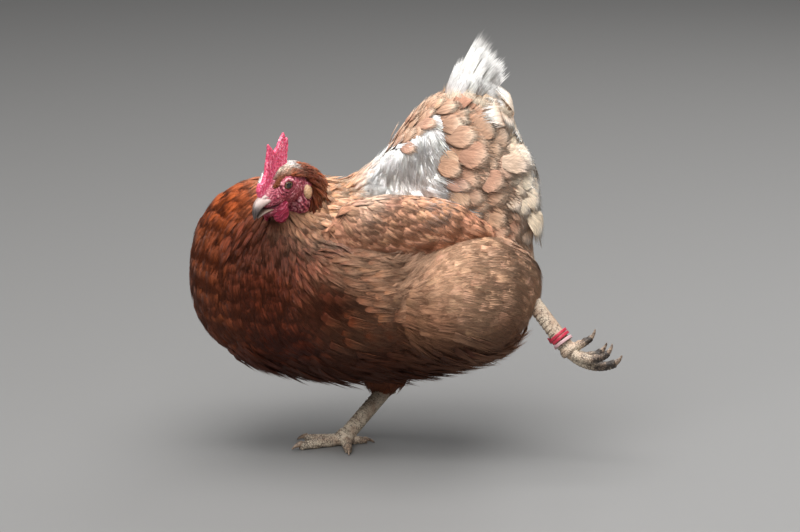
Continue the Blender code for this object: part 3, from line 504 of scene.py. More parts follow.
class Vane:
    """The pattern of one feather: rows of points across it, a frayed end, and a plain underside."""

    def __init__(self, counts, heights, sags):
        self.u, self.v, self.kind, self.faces, self.below = [], [], [], [], []
        rows = []
        for count, height, sag in zip(counts, heights, sags):
            row = []
            for i in range(count + 1):
                across = 2 * i / count - 1
                row.append(self.add(across, height - sag * across * across, "rib" if i % 2 else "top"))
            rows.append(row)
        for near, far in zip(rows, rows[1:]):
            self.strip(near, far)
        under = [self.add(0, height, "under") for height in heights[:-1]]
        last = rows[-1]
        for i in range(0, counts[-1], 2):
            across = 2 * (i + 1) / counts[-1] - 1
            tip = self.add(across, 1 - 0.5 * sags[-1] * across * across, "tip")
            self.faces += [(last[i], last[i + 1], tip), (last[i + 1], last[i + 2], tip)]
            self.below += [(last[i], tip, last[i + 2]), (under[-1], last[i], last[i + 2])]
        for k in range(len(under) - 1):
            near, far, below, next_below = rows[k], rows[k + 1], under[k], under[k + 1]
            self.below += [(near[0], far[0], next_below), (near[0], next_below, below)]
            self.below += [(below, next_below, far[-1]), (below, far[-1], near[-1])]
        self.below += [(rows[-2][0], last[0], under[-1]), (under[-1], last[-1], rows[-2][-1])]
        root = rows[0]
        self.below += [(root[1], root[0], under[0]), (root[2], root[1], under[0])]
        self.sharp = np.array([False] * len(self.faces) + [True] * len(self.below))
        self.faces += self.below
        self.u, self.v, self.kind = np.array(self.u), np.array(self.v), np.array(self.kind)
        self.faces = np.array(self.faces)
        self.tip = self.kind == "tip"

    def add(self, across, along, kind):
        self.u.append(across)
        self.v.append(along)
        self.kind.append(kind)
        return len(self.u) - 1

    def strip(self, near, far):
        i = j = 0
        while i < len(near) - 1 or j < len(far) - 1:
            ahead = (i + 1) / (len(near) - 1) <= (j + 1) / (len(far) - 1)
            step_near = i < len(near) - 1 and (j == len(far) - 1 or ahead)
            if step_near:
                self.faces.append((near[i], near[i + 1], far[j]))
                i += 1
            else:
                self.faces.append((near[i], far[j + 1], far[j]))
                j += 1


BODY_VANE = Vane((2, 6, 18), (0, 0.32, 0.54), (0, 0.02, 0.14))
SOFT_VANE = Vane((2, 4, 14), (0, 0.2, 0.4), (0, 0.02, 0.08))
LOBE_VANE = Vane((2, 6, 16, 32, 44), (0, 0.3, 0.55, 0.74, 0.86), (0, 0.02, 0.08, 0.18, 0.28))
SLIM_VANE = Vane((2, 4, 10), (0, 0.34, 0.64), (0, 0.02, 0.10))
DOWN_VANE = Vane((2, 4, 10), (0, 0.12, 0.26), (0, 0.02, 0.05))
LONG_VANE = Vane((2, 6, 12, 20, 28, 34), (0, 0.18, 0.4, 0.62, 0.82, 0.93), (0, 0.01, 0.02, 0.04, 0.07, 0.09))
WALK = np.array((0, 0.25, 0.5, 0.75, 1.0))


def walk(surface, places, normals, ways, longs):
    """Centre lines laid along the skin: points and normals at each step, and the way there."""
    points, tops, heads = [places], [normals], []
    for near, far in zip(WALK, WALK[1:]):
        ways = unit(ways - (ways * tops[-1]).sum(1, keepdims=True) * tops[-1])
        heads.append(ways)
        ahead = points[-1] + ways * (longs * (far - near))[:, None]
        place, normal, _ = surface.nearest(ahead)
        points.append(place)
        tops.append(normal)
    heads.append(ways)
    return np.stack(points, 1), np.stack(tops, 1), np.stack(heads, 1)


def along_lines(values, v):
    """Values at the walk's steps, read at v, and past the last step in a straight line."""
    step = WALK[1] - WALK[0]
    index = np.clip((v / step).astype(int), 0, len(WALK) - 2)
    share = (v - index * step) / step
    rows = np.arange(len(values))[:, None]
    return values[rows, index] * (1 - share[..., None]) + values[rows, index + 1] * share[..., None]


def vane_points(vane, lines, tops, heads, sizes, cup=0.05, step=0.25, thick=0.16):
    """Points of every feather. sizes holds length, half width, lift, fray and how pointed, for each.

    cup is how far the vane's edges bend down, and step how much of its lift comes late, as a scallop.
    """
    longs, halves, lifts, frays, pointed = (sizes[:, i, None] for i in range(5))
    count = len(longs)
    u = np.repeat(vane.u[None], count, 0)
    v = np.repeat(vane.v[None], count, 0)
    loose = RNG.random((count, len(vane.u))) * vane.tip
    v = v + vane.tip * frays * (0.20 * loose - 0.06)
    u = u * (1 + vane.tip * frays * 0.10 * RNG.standard_normal(v.shape))
    width = 0.30 + 0.70 * smoothstep(0.0, 0.45, v)
    width = width * (1 - pointed * 0.86 * smoothstep(0.35, 1.0, v))
    reach = halves * width * u
    side = unit(np.cross(along_lines(heads, v), along_lines(tops, v)))
    top = unit(along_lines(tops, v))
    rise = lifts * ((1 - step) * smoothstep(-0.1, 0.55, v) + step * v)
    rise = rise - cup * halves * width * u * u
    rise = rise + 0.35 * RNG.standard_normal((count, 1)) * smoothstep(0, 0.5, v)
    inner = (1 - u * u) * (vane.kind != "tip")
    rise = rise + thick * inner * np.where(vane.kind == "under", -1, 1)
    rise = rise + (vane.kind == "rib") * (v > 0.45) * inner * 0.14
    rise = rise + vane.tip * frays * 0.9 * (RNG.random(v.shape) - 0.35)
    bend = RNG.standard_normal((count, 1)) * 0.05 * longs * v * v
    points = along_lines(lines, v) + side * (reach + bend)[..., None] + top * rise[..., None]
    return points, u * halves, v * longs, v


def tuft_colours(v, colours, uneven=0.07):
    """A tint for every point: painted shade at the root, where the feathers lie over each other, its own colour
    on the vane, its end's colour at the tips.
    """
    count = len(colours)
    own = colours[:, 0] * (1 + uneven * RNG.standard_normal((count, 1)))
    own = own * (1 + 0.02 * RNG.standard_normal((count, 3)))
    end = colours[:, 1] * (1 + 0.06 * RNG.standard_normal((count, 1)))
    share = smoothstep(0.6, 1.0, v)[..., None]
    tint = own[:, None] * (1 - share) + end[:, None] * share
    # Painted shade: darker towards the root, where other feathers lie over it, less so on pale feathers; each
    # point also differs in tone at random.
    pale = smoothstep(0.5, 0.85, colours[:, 0].mean(1))[:, None]
    dark = 0.72 + 0.24 * pale + (0.28 - 0.24 * pale) * smoothstep(0.1, 0.7, v)
    dark = dark * (1 + 0.11 * RNG.standard_normal(v.shape))
    return np.clip(tint * dark[..., None], 0.003, 0.95)


def mesh_of(name, points, faces):
    """A mesh from arrays of points and triangles."""
    mesh = bpy.data.meshes.new(name)
    mesh.vertices.add(len(points))
    mesh.vertices.foreach_set("co", (points * MM).ravel())
    mesh.loops.add(len(faces) * 3)
    mesh.loops.foreach_set("vertex_index", faces.ravel())
    mesh.polygons.add(len(faces))
    mesh.polygons.foreach_set("loop_start", np.arange(0, len(faces) * 3, 3))
    mesh.update(calc_edges=True)
    mesh.shade_smooth()
    return mesh


def feather_object(name, vane, points, tints, flat, roots_uv, made):
    """One coat piece. flat is (feathers, points, 2): across and along each vane, in millimetres."""
    count, each = points.shape[:2]
    faces = (vane.faces[None] + (np.arange(count) * each)[:, None, None]).reshape(-1, 3)
    mesh = mesh_of(name, points.reshape(-1, 3), faces)
    flat_faces = mesh.attributes.get("sharp_face") or mesh.attributes.new("sharp_face", "BOOLEAN", "FACE")
    flat_faces.data.foreach_set("value", np.tile(vane.sharp, count))
    corner = faces.ravel()
    bake = mesh.uv_layers.new(name="OFBake")
    own = np.stack([vane.u * 0.0015, (vane.v - 0.5) * 0.003], 1)
    places = (roots_uv[:, None] + own[None]).reshape(-1, 2)
    bake.data.foreach_set("uv", places[corner].ravel())
    layer = mesh.uv_layers.new(name="vane")
    layer.data.foreach_set("uv", flat.reshape(-1, 2)[corner].ravel())
    tint = mesh.color_attributes.new("tint", "FLOAT_COLOR", "POINT")
    rgba = np.concatenate([tints.reshape(-1, 3), np.ones((count * each, 1))], 1)
    tint.data.foreach_set("color", rgba.ravel())
    obj = bpy.data.objects.new(name, mesh)
    bpy.context.scene.collection.objects.link(obj)
    obj.data.materials.append(made)
    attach(obj, "root")
    return obj


# Materials

class Wire:
    """A value in a material, so that shader maths can be written as sums."""

    def __init__(self, finish, socket):
        self.finish, self.socket = finish, socket

    def __add__(self, other):
        return self.finish.maths("ADD", self, other)

    def __sub__(self, other):
        return self.finish.maths("SUBTRACT", self, other)

    def __rsub__(self, other):
        return self.finish.maths("SUBTRACT", other, self)

    def __mul__(self, other):
        return self.finish.maths("MULTIPLY", self, other)

    __radd__, __rmul__ = __add__, __mul__


class Finish:
    """A material under way: its shader, and one method for each kind of node it needs."""

    def __init__(self, name, roughness=0.5, **shader_values):
        self.material = bpy.data.materials.new(name)
        self.material.use_nodes = True
        self.tree = self.material.node_tree
        self.shader = self.tree.nodes["Principled BSDF"]
        self.set(Roughness=roughness)
        for socket, value in shader_values.items():
            self.shader.inputs[socket.replace("_", " ")].default_value = value

    def put(self, socket, value):
        if isinstance(value, Wire):
            self.tree.links.new(value.socket, socket)
        elif isinstance(value, bpy.types.NodeSocket):
            self.tree.links.new(value, socket)
        elif socket.type == "RGBA" and len(value) == 3:
            socket.default_value = (*value, 1)
        else:
            socket.default_value = value

    def node(self, kind, values=(), out=0, **settings):
        """Adds a node, sets it up, gives its sockets their values, and returns one output."""
        made = self.tree.nodes.new("ShaderNode" + kind)
        for name, value in settings.items():
            setattr(made, name, value)
        for socket, value in dict(values).items():
            self.put(made.inputs[socket], value)
        return Wire(self, made.outputs[out])

    def maths(self, operation, *values):
        return self.node("Math", enumerate(values), operation=operation)

    def mix(self, share, first, second, blend="MIX"):
        return self.node("Mix", {0: share, 6: first, 7: second}, 2, data_type="RGBA", blend_type=blend)

    def ramp(self, value, low, high):
        """0 below low, 1 above high, smoothly between."""
        values = {"Value": value, "From Min": low, "From Max": high}
        return self.node("MapRange", values, interpolation_type="SMOOTHSTEP")

    def clouds(self, scale, detail=3.0, place=None, rough=0.55):
        place = place or self.place()
        values = {"Vector": place, "Scale": scale, "Detail": detail, "Roughness": rough}
        return self.node("TexNoise", values, noise_dimensions="3D")

    def cells(self, scale, feature="F1", place=None):
        return self.node("TexVoronoi", {"Vector": place or self.place(), "Scale": scale}, feature=feature)

    def place(self):
        return self.node("TexCoord", out="Object")

    def layer(self, name):
        """The two numbers of a UV map."""
        flat = self.node("UVMap", uv_map=name)
        parts = self.node("SeparateXYZ", {0: flat})
        return parts, Wire(self, parts.socket.node.outputs[1])

    def vector(self, x, y, z):
        return self.node("CombineXYZ", {0: x, 1: y, 2: z})

    def scaled(self, vector, share):
        return self.node("VectorMath", {0: vector, "Scale": share}, operation="SCALE")

    def plus(self, first, second):
        return self.node("VectorMath", {0: first, 1: second}, operation="ADD")

    def attribute(self, name):
        return self.node("Attribute", out="Color", attribute_name=name)

    def bump(self, height, millimetres, strength=1.0):
        values = {"Height": height, "Distance": millimetres * MM, "Strength": strength}
        self.set(Normal=self.node("Bump", values))

    def set(self, **values):
        for socket, value in values.items():
            self.put(self.shader.inputs[socket.replace("_", " ")], value)
        return self


def plumage(name, shaft=0.2, shaft_wide=0.35, streaks=0.42, roughness=0.7):
    """Feather: barbs run out from the shaft at a slant, as fine streaks of light and dark."""
    finish = Finish(name, roughness, Sheen_Weight=0.04, Sheen_Roughness=0.5, Specular_IOR_Level=0.12)
    across, along = finish.layer("vane")
    wide = finish.maths("ABSOLUTE", across)
    barb = along - wide * 1.5
    own = finish.scaled(finish.place(), 140)
    fine = finish.clouds(1.0, 2, finish.plus(finish.vector(across * 0.95, along * 0.07, 0.0), own))
    broad = finish.clouds(1.0, 2, finish.plus(finish.vector(barb * 0.6, across * 0.08, 3.0), own))
    light = 1 + (fine - 0.5) * streaks * 2.6 + (broad - 0.5) * streaks * 1.6
    tint = finish.attribute("tint")
    shaded = finish.scaled(tint, light)
    line = (1 - finish.ramp(wide, shaft_wide * 0.5, shaft_wide)) * shaft
    golden = finish.plus(finish.scaled(tint, 1.7), tuple(CREAM * 0.04))
    finish.set(Base_Color=finish.mix(line, shaded, golden))
    finish.bump(fine + broad * 0.5, 0.22)
    return finish.material


def skin_finish(name):
    finish = Finish(name, 0.8)
    speckle = finish.clouds(600, 4)
    tint = finish.attribute("tint")
    # Painted shade deep in the coat: the tint is darkened down to half where the fine speckle is dark, and the
    # speckle also gives a grain.
    finish.set(Base_Color=finish.scaled(tint, 0.5 + speckle * 0.5))
    finish.bump(speckle, 0.4)
    return finish.material


def fleshy_finish(name, deep, middle, pale, roughness=0.5, speckle=900.0, soft=0.12):
    """Bare skin: painted shade in its folds and painted highlight on its ridges, following the relief, with
    blotches and a fine grain.
    """
    finish = Finish(name, roughness, Subsurface_Weight=soft, Subsurface_Scale=0.004, Specular_IOR_Level=0.45)
    fold = finish.node("Attribute", out="Fac", attribute_name="fold")
    blotch = finish.clouds(110, 3)
    grain = finish.cells(speckle)
    # The fold attribute is the relief's height: folds take the deep tone as painted shade, ridges the pale tone
    # as painted highlight, loosened by blotches and grain.
    tone = finish.mix(finish.ramp(fold + (blotch - 0.5) * 0.5, -0.55, 0.1), deep, middle)
    tone = finish.mix(finish.ramp(fold + (blotch - 0.5) * 0.9 + (grain - 0.3) * 0.25, 0.05, 0.75), tone, pale)
    finish.set(Base_Color=tone)
    finish.bump(grain * -0.8 + finish.clouds(700, 3), 0.16)
    return finish.material


def horn_finish(name, base, tip, from_point, to_point, roughness=0.38):
    """Horn that changes colour from one place to another, with faint growth lines."""
    finish = Finish(name, roughness, Coat_Weight=0.15, Coat_Roughness=0.3)
    way = Vector(to_point) - Vector(from_point)
    place = finish.scaled(finish.place(), 1 / MM)
    offset = finish.plus(place, tuple(-Vector(from_point)))
    measure = {0: offset, 1: tuple(way / way.length_squared)}
    along = finish.node("VectorMath", measure, 1, operation="DOT_PRODUCT")
    patchy = finish.clouds(160, 4)
    share = finish.ramp(along + (patchy - 0.5) * 0.35, 0.25, 0.85)
    tone = finish.mix(share, base, tip)
    lines = finish.node("TexWave", {"Vector": finish.place(), "Scale": 260, "Distortion": 3, "Detail": 2})
    tone = finish.mix(finish.ramp(lines + patchy, 0.7, 1.5) * 0.35, tone, np.array(base) * 0.55)
    finish.set(Base_Color=tone)
    finish.bump(lines * 0.4 + finish.clouds(900, 2) * 0.6, 0.10)
    return finish.material


def eye_finish(name, centre, axis):
    """Eyeball: a black pupil, a brown iris with fine rays, a dark rim and a clear wet coat."""
    finish = Finish(name, 0.08, Coat_Weight=1.0, Coat_Roughness=0.02, Specular_IOR_Level=0.6)
    place = finish.scaled(finish.place(), 1 / MM)
    out = finish.node("VectorMath", {0: finish.plus(place, tuple(-Vector(centre)))}, operation="NORMALIZE")
    facing = finish.node("VectorMath", {0: out, 1: tuple(axis)}, 1, operation="DOT_PRODUCT")
    turn = finish.node("Math", {0: facing}, operation="ARCCOSINE") * (180 / math.pi)
    rays = finish.clouds(900, 3)
    iris = finish.mix(finish.ramp(turn + rays * 14, 26, 52), colour(70, 50, 30), colour(112, 86, 52))
    iris = finish.mix(finish.ramp(turn, 40, 50), iris, colour(40, 26, 20))
    finish.set(Base_Color=finish.mix(finish.ramp(turn + rays * 2, 26, 29), colour(10, 8, 8), iris))
    return finish.material


# Building

def shaped(name, columns, rows, place, made=None, slot=None, nodes=()):
    """A grid bent into shape by place(around, along), each from 0 to 1, with its seams closed."""
    bpy.ops.mesh.primitive_grid_add(x_subdivisions=columns, y_subdivisions=rows, size=2)
    obj = bpy.context.object
    obj.name = obj.data.name = name
    flat = points_of(obj.data) * MM / 2 + 0.5
    move_points(obj.data, place(flat[:, 0], flat[:, 1]))
    bpy.ops.object.mode_set(mode="EDIT")
    bpy.ops.mesh.select_all(action="SELECT")
    bpy.ops.mesh.remove_doubles(threshold=2e-5)
    bpy.ops.mesh.normals_make_consistent(inside=False)
    bpy.ops.object.mode_set(mode="OBJECT")
    while obj.data.uv_layers:
        obj.data.uv_layers.remove(obj.data.uv_layers[0])
    return dress(obj, made, nodes)


def dress(obj, made, nodes=()):
    """Gives a finished piece its material and body, and hides the solids that it stands for."""
    obj.data.shade_smooth()
    if made:
        obj.data.materials.clear()
        obj.data.materials.append(made)
        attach(obj, "root")
    if nodes:
        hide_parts(*nodes)
    return obj


def grain_of(points, size, seed=0.0):
    """Smooth noise from -1 to 1, in lumps about this many millimetres across."""
    spots = (points / size + (seed, 0, 0)).tolist()
    return np.array([noise.noise(Vector(spot)) for spot in spots])


def sculpt(obj, relief):
    """Moves the surface out by its relief, read in the head's axes, and keeps it as the fold attribute, which the
    bare skin's colour follows as painted shade and painted highlight.
    """
    points = points_of(obj.data)
    rise = relief(in_head(points))
    move_points(obj.data, points + normals_of(obj.data) * rise[:, None])
    fold = obj.data.attributes.new("fold", "FLOAT", "POINT")
    fold.data.foreach_set("value", rise)


def bell(values, middle, wide):
    return np.exp(-((values - middle) / wide) ** 2)


def mirrored(lump):
    (x, y, z), radii, (roll, pitch, yaw) = lump
    return ((x, -y, z), radii, (-roll, pitch, -yaw))


def eye_axes(side):
    turn = math.radians(-EYE_TURN)
    return EYE_PLACE * (1, side, 1), np.array((math.sin(turn), side * math.cos(turn), 0))


def face_relief(spots):
    """Folds round the eyes, wrinkles on the cheeks, ridged lobes behind them and a fine grain."""
    forward, left, up = spots.T
    side = np.where(left > 0, 1.0, -1.0)
    flipped = spots * np.stack([np.ones_like(side), side, np.ones_like(side)], 1)
    centre, axis = eye_axes(1)
    away = flipped - centre
    height = away @ axis
    radius = np.linalg.norm(away - height[:, None] * axis, axis=1)
    wander = grain_of(spots, 5.0, 3.0)
    radius = radius + (wander * 1.8 + grain_of(spots, 2.4, 11.0) * 0.7) * smoothstep(5.0, 7.5, radius)
    near_eye = smoothstep(-3.0, 0.0, height)
    folds = 0.42 * bell(radius, 5.5, 0.7) - 0.45 * bell(radius, 6.8, 0.5) + 0.34 * bell(radius, 8.0, 0.7)
    folds += -0.30 * bell(radius, 9.3, 0.6) + 0.20 * bell(radius, 10.5, 0.7) - 0.14 * bell(radius, 11.8, 0.6)
    relief = folds * near_eye * (0.8 + 0.7 * grain_of(spots, 4.5, 21.0))
    bare = smoothstep(12, 9, up - 0.25 * forward) * smoothstep(-21, -17, forward)
    cheek = smoothstep(10, 13, radius) * bare
    lobe = smoothstep(11, 7, np.linalg.norm(flipped - CHEEK_LOBE[0], axis=1))
    relief += cheek * (1 - lobe) * 0.2 * np.sin((up + forward * 0.42 + wander * 4.5) * 2 * math.pi / 2.3)
    relief += lobe * 0.4 * np.sin((forward * 0.9 - up * 0.35 + wander * 4.0) * 2 * math.pi / 2.6)
    gape = bell(up, -9.6 - 0.10 * (forward - 16), 0.8) * smoothstep(6, 12, forward)
    relief -= 0.7 * gape
    relief += bare * 0.34 * grain_of(spots, 1.2) + bare * 0.26 * grain_of(spots, 2.4, 9.0)
    return relief


def make_face():
    """The bare skin of the head, with lids round the eyes."""
    lumps = (SKULL, FACE, JAW, NAPE, CHEEK_LOBE, mirrored(CHEEK_LOBE), LID, mirrored(LID))
    pieces = [mass(*lump, axes=HEAD, segments=48) for lump in lumps]
    pieces += [mass(centre, (radius,) * 3) for centre, radius in NECK[2:]]
    face = one_skin("face_skin", pieces, 0.8, 2)
    for side in (1, -1):
        centre, _ = eye_axes(side)
        ball = (tuple(centre), (EYE_R + 0.1,) * 3, (0, 0, 0))
        opening = LID_OPENING if side > 0 else mirrored(LID_OPENING)
        for lump in (ball, opening):
            cutter = mass(*lump, axes=HEAD, segments=40)
            modifier(face, "BOOLEAN", operation="DIFFERENCE", solver="MANIFOLD", object=cutter)
            apply_modifiers(face)
            bpy.data.objects.remove(cutter)
    modifier(face, "REMESH", mode="VOXEL", voxel_size=0.6 * MM)
    modifier(face, "SMOOTH", factor=0.5, iterations=2)
    apply_modifiers(face)
    sculpt(face, face_relief)
    # Tones of the face: in its folds as painted shade, between, and on its ridges as painted highlight.
    made = fleshy_finish("face_flesh", colour(70, 16, 34), colour(158, 62, 80), colour(228, 168, 172))
    dress(face, made, ("head",))
    for side, name in ((1, "eye_left"), (-1, "eye_right")):
        centre, axis = eye_axes(side)
        ball = mass(tuple(centre), (EYE_R - 0.05,) * 3, axes=HEAD, segments=48)
        ball.name = ball.data.name = name + "_ball"
        while ball.data.uv_layers:
            ball.data.uv_layers.remove(ball.data.uv_layers[0])
        world_centre, world_axis = out_of_head(centre), HEAD_TURN @ axis
        dress(ball, eye_finish(name + "_wet", world_centre, world_axis), (name,))


def comb_relief(spots):
    forward, left, up = spots.T
    ridges = 0.10 * np.sin((forward * 0.8 + up * 0.18 + grain_of(spots, 6.0) * 3.0) * 2 * math.pi / 3.2)
    return ridges * smoothstep(4, 14, up) + 0.42 * grain_of(spots, 1.4) + 0.3 * grain_of(spots, 0.9, 5.0)


def make_comb():
    """The single comb: a blade with pointed teeth, thinner towards its tips, with a grainy skin."""
    outline = bpy.data.curves.new("comb_outline", "CURVE")
    outline.dimensions, outline.fill_mode = "2D", "BOTH"
    outline.extrude = COMB_THICK / 2 * MM
    spline = outline.splines.new("POLY")
    spline.points.add(len(COMB_OUTLINE) - 1)
    for point, (x, z) in zip(spline.points, COMB_OUTLINE):
        point.co = (x * MM, z * MM, 0, 1)
    spline.use_cyclic_u = True
    guide = bpy.data.objects.new("comb_guide", outline)
    bpy.context.scene.collection.objects.link(guide)
    alone(guide)
    bpy.ops.object.convert(target="MESH")
    comb = bpy.context.object
    comb.name = comb.data.name = "comb_blade"
    points = points_of(comb.data)
    forward, up, left = points.T
    left = left * (1 - 0.62 * np.clip((up - 12) / 40, 0, 1))
    move_points(comb.data, out_of_head(np.column_stack([forward, left, up])))
    modifier(comb, "REMESH", mode="VOXEL", voxel_size=0.55 * MM)
    modifier(comb, "SMOOTH", factor=0.6, iterations=4)
    apply_modifiers(comb)
    sculpt(comb, comb_relief)
    # Tones of the comb: in its folds as painted shade, between, and on its ridges as painted highlight.
    tones = (colour(164, 34, 66), colour(226, 86, 120), colour(252, 190, 204))
    made = fleshy_finish("comb_flesh", *tones, 0.48, 1000.0, 0.2)
    return dress(comb, made, ("comb",))


def lobe_relief(wrinkle, spacing, grain):
    def relief(spots):
        wander = grain_of(spots, 4.0, 7.0)
        wave = np.sin((spots[:, 2] + 0.5 * spots[:, 0] + wander * 2.5) * 2 * math.pi / spacing)
        return wrinkle * wave + grain * grain_of(spots, 1.2)
    return relief


def make_lobes():
    # Tones of the wattles and earlobes: in their folds as painted shade, between, and on their ridges as painted
    # highlight.
    reds = (colour(92, 10, 34), colour(146, 30, 60), colour(226, 130, 150))
    buffs = (colour(150, 92, 70), colour(214, 176, 138), colour(240, 216, 182))
    red = fleshy_finish("wattle_flesh", *reds, 0.4, 800.0, 0.2)
    pale = fleshy_finish("earlobe_flesh", *buffs, 0.6, 700.0)
    for side, hand in ((1, "left"), (-1, "right")):
        for kind, lump, made, slot, relief in (
            ("wattle", WATTLE, red, "comb_skin", lobe_relief(0.16, 3.4, 0.16)),
            ("earlobe", EARLOBE, pale, "earlobe_skin", lobe_relief(0.14, 2.6, 0.24)),
        ):
            centre, radii, turn = lump if side > 0 else mirrored(lump)
            pieces = [mass(centre, radii, turn, HEAD)]
            if kind == "wattle":
                x, y, z = centre
                pieces.append(mass((x - 1, y * 0.9, z + 6), (7.5, 2.6, 4.5), turn, HEAD))
            lobe = one_skin(f"{kind}_{hand}_lobe", pieces, 0.5, 2)
            sculpt(lobe, relief)
            dress(lobe, made, (f"{kind}_{hand}",))


def smooth_line(stations, along):
    """Values between named stations, on one smooth curve through them all."""
    stations = np.array(stations, float)
    steps = np.linspace(0, 1, len(stations))
    curve = np.polyfit(steps, stations, len(stations) - 1)
    return sum(row[None] * along[:, None] ** (len(stations) - 1 - i) for i, row in enumerate(curve))


def bill_part(spine, halves, keel):
    """The horn of one half of the bill. keel is 1 for the upper, ridged above, and -1 for the lower."""
    def place(around, along):
        line = smooth_line(spine, along)
        ahead = unit(smooth_line(spine, along + 0.01) - line)
        half = np.maximum(smooth_line(halves, along), 0.05) * smoothstep(-0.02, 0.04, along)[:, None]
        half = half * np.where(along > 0.985, 0.02, 1.0)[:, None]
        turn = 2 * math.pi * around
        high, wide = np.sin(turn), np.cos(turn)
        ridge = np.maximum(0, high * keel)
        width = wide * half[:, 0] * (1 - 0.34 * ridge ** 2)
        tall = high * half[:, 1] * np.where(high * keel < 0, 0.42, 1.0)
        spots = np.column_stack([line[:, 0] - ahead[:, 1] * tall, width, line[:, 1] + ahead[:, 0] * tall])
        if keel > 0:
            apart = np.abs(spots[:, 1])
            cere = bell(spots[:, 0], 20, 3.2) * smoothstep(0.2, 0.9, np.abs(wide))
            slit = bell(spots[:, 0] - 0.25 * (spots[:, 2] + 1.4), NOSTRIL[0], 2.3)
            slit = slit * bell(spots[:, 2], NOSTRIL[2], 0.8)
            swell = bell(spots[:, 0], NOSTRIL[0], 3.6) * bell(spots[:, 2], NOSTRIL[2] + 2.0, 1.3)
            push = 0.5 * cere + 0.6 * swell - 1.5 * slit * (apart > 2)
            spots[:, 1] += np.sign(spots[:, 1]) * push
        return out_of_head(spots)
    return place


def make_bill():
    base, end = out_of_head(np.array((20, 0, -4))), out_of_head(np.array((38.4, 0, -16.4)))
    upper = horn_finish("upper_horn", colour(188, 166, 158), colour(40, 34, 36), base, end)
    lower = horn_finish("lower_horn", colour(170, 146, 130), colour(110, 92, 84), base, end)
    for node, columns, rows, place, horn in (
        ("bill_upper", 48, 60, bill_part(BILL_SPINE, BILL_HALVES, 1), upper),
        ("bill_lower", 40, 40, bill_part(LOWER_SPINE, LOWER_HALVES, -1), lower),
    ):
        shaped(node + "_horn", columns, rows, place, horn, "bill_horn", (node,))


def curled_line(start, way, sole, long, curl, steps=48):
    """Centre line of a toe or claw that bends towards its sole by curl degrees over its length."""
    points, spot, axis = [start.copy()], start.copy(), sole.cross(way).normalized()
    for i in range(steps):
        turned = Matrix.Rotation(-math.radians(curl) * ((i + 0.5) / steps) ** 1.2, 3, axis) @ way
        spot = spot + turned * long / steps
        points.append(spot.copy())
    return np.array(points)


class Limb:
    """A round limb along a centre line, with its own top side, that can be drawn and read back."""

    def __init__(self, kind, line, radii, top, flat=1.0):
        self.kind, self.line, self.radii, self.flat = kind, line, radii, flat
        self.ahead = unit(np.gradient(line, axis=0))
        self.across = unit(np.cross(np.array(top), self.ahead))
        self.top = np.cross(self.ahead, self.across)
        self.along = np.concatenate([[0], np.cumsum(np.linalg.norm(np.diff(line, axis=0), axis=1))])

    def place(self, around, along):
        index = along * (len(self.line) - 1)
        low = np.clip(index.astype(int), 0, len(self.line) - 2)
        share = (index - low)[:, None]
        def at(values):
            return values[low] * (1 - share) + values[low + 1] * share
        turn = 2 * math.pi * around
        radius = at(self.radii[:, None])[:, 0]
        radius = radius * np.where((along < 0.001) | (along > 0.999), 0.02, 1.0)
        spots = at(self.line) + at(self.top) * (np.cos(turn) * radius)[:, None]
        return spots + at(self.across) * (np.sin(turn) * radius * self.flat)[:, None]

    def draw(self, name, floor, columns=28, rows=64, **rest):
        def place(around, along):
            spots = self.place(around, along)
            if floor:
                spots[:, 2] = np.maximum(spots[:, 2], 0)
            return spots
        return shaped(name, columns, rows, place, **rest)

    def facts(self, points):
        """For each point: how near, how far along in millimetres, and the angle from the top."""
        apart = np.linalg.norm(points[:, None] - self.line[None], axis=2)
        nearest = apart.argmin(1)
        away = points - self.line[nearest]
        past = (away * self.ahead[nearest]).sum(1)
        turn = np.arctan2((away * self.across[nearest]).sum(1), (away * self.top[nearest]).sum(1))
        return apart.min(1) / self.radii[nearest], self.along[nearest] + past, turn


def shank_limb(hock, ball, front):
    share = np.linspace(0, 1, 80)[:, None]
    knob = HOCK_R * np.exp(-((share[:, 0] / 0.14) ** 2)) + BALL_R * np.exp(-(((1 - share[:, 0]) / 0.12) ** 2))
    radii = np.maximum(SHANK_R, knob) * 1.06
    line = np.array(hock) * (1 - share) + np.array(ball) * share
    down = np.array((ball - hock).normalized())
    for i in range(1, 9):
        line = np.vstack([line, line[79] + down * BALL_R * 0.55 * i / 8])
        radii = np.append(radii, radii[79] * math.sqrt(1 - (i / 8.2) ** 2))
    return Limb("shank", line, radii, front, 0.86)


def scale_relief(limbs, points):
    """Overlapping plates on the fronts of the shanks and the tops of the toes, and pads under the toes."""
    facts = [limb.facts(points) for limb in limbs]
    owner = np.argmin([fact[0] for fact in facts], axis=0)
    rise = np.zeros(len(points))
    plates = np.zeros(len(points))
    mud = np.zeros(len(points))
    for number, (limb, (near, along, turn)) in enumerate(zip(limbs, facts)):
        mine = owner == number
        wide, count = (4.2, 2) if limb.kind == "shank" else (2.5, 1)
        column = np.sign(turn) * 0.5 if count == 2 else 0
        row = along / wide + (column * 0.5 if count == 2 else 0.0) + 0.12 * np.abs(np.sin(turn))
        saw = row - np.floor(row)
        front = smoothstep(1.9, 1.3, np.abs(turn))
        step = saw * smoothstep(1.0, 0.86, saw)
        size = 0.7 if limb.kind == "shank" else 0.6
        groove = bell(turn, 0, 0.09) * (count == 2) * 0.35
        pads = 0.35 * np.cos(along * 6 * math.pi / limb.along[-1]) * smoothstep(1.9, 2.6, np.abs(turn))
        local = front * (size * step - groove - 0.2) + (pads if limb.kind == "toe" else 0)
        rise = np.where(mine, local, rise)
        plates = np.where(mine, front * smoothstep(0.80, 0.97, saw) + (1 - front) * 0.25, plates)
        far = smoothstep(0.1, 0.9, along / limb.along[-1]) if limb.kind == "toe" else 0 * along
        mud = np.where(mine, far, mud)
    return rise + 0.10 * grain_of(points, 1.4) * (1 - plates * 0.5), plates, mud


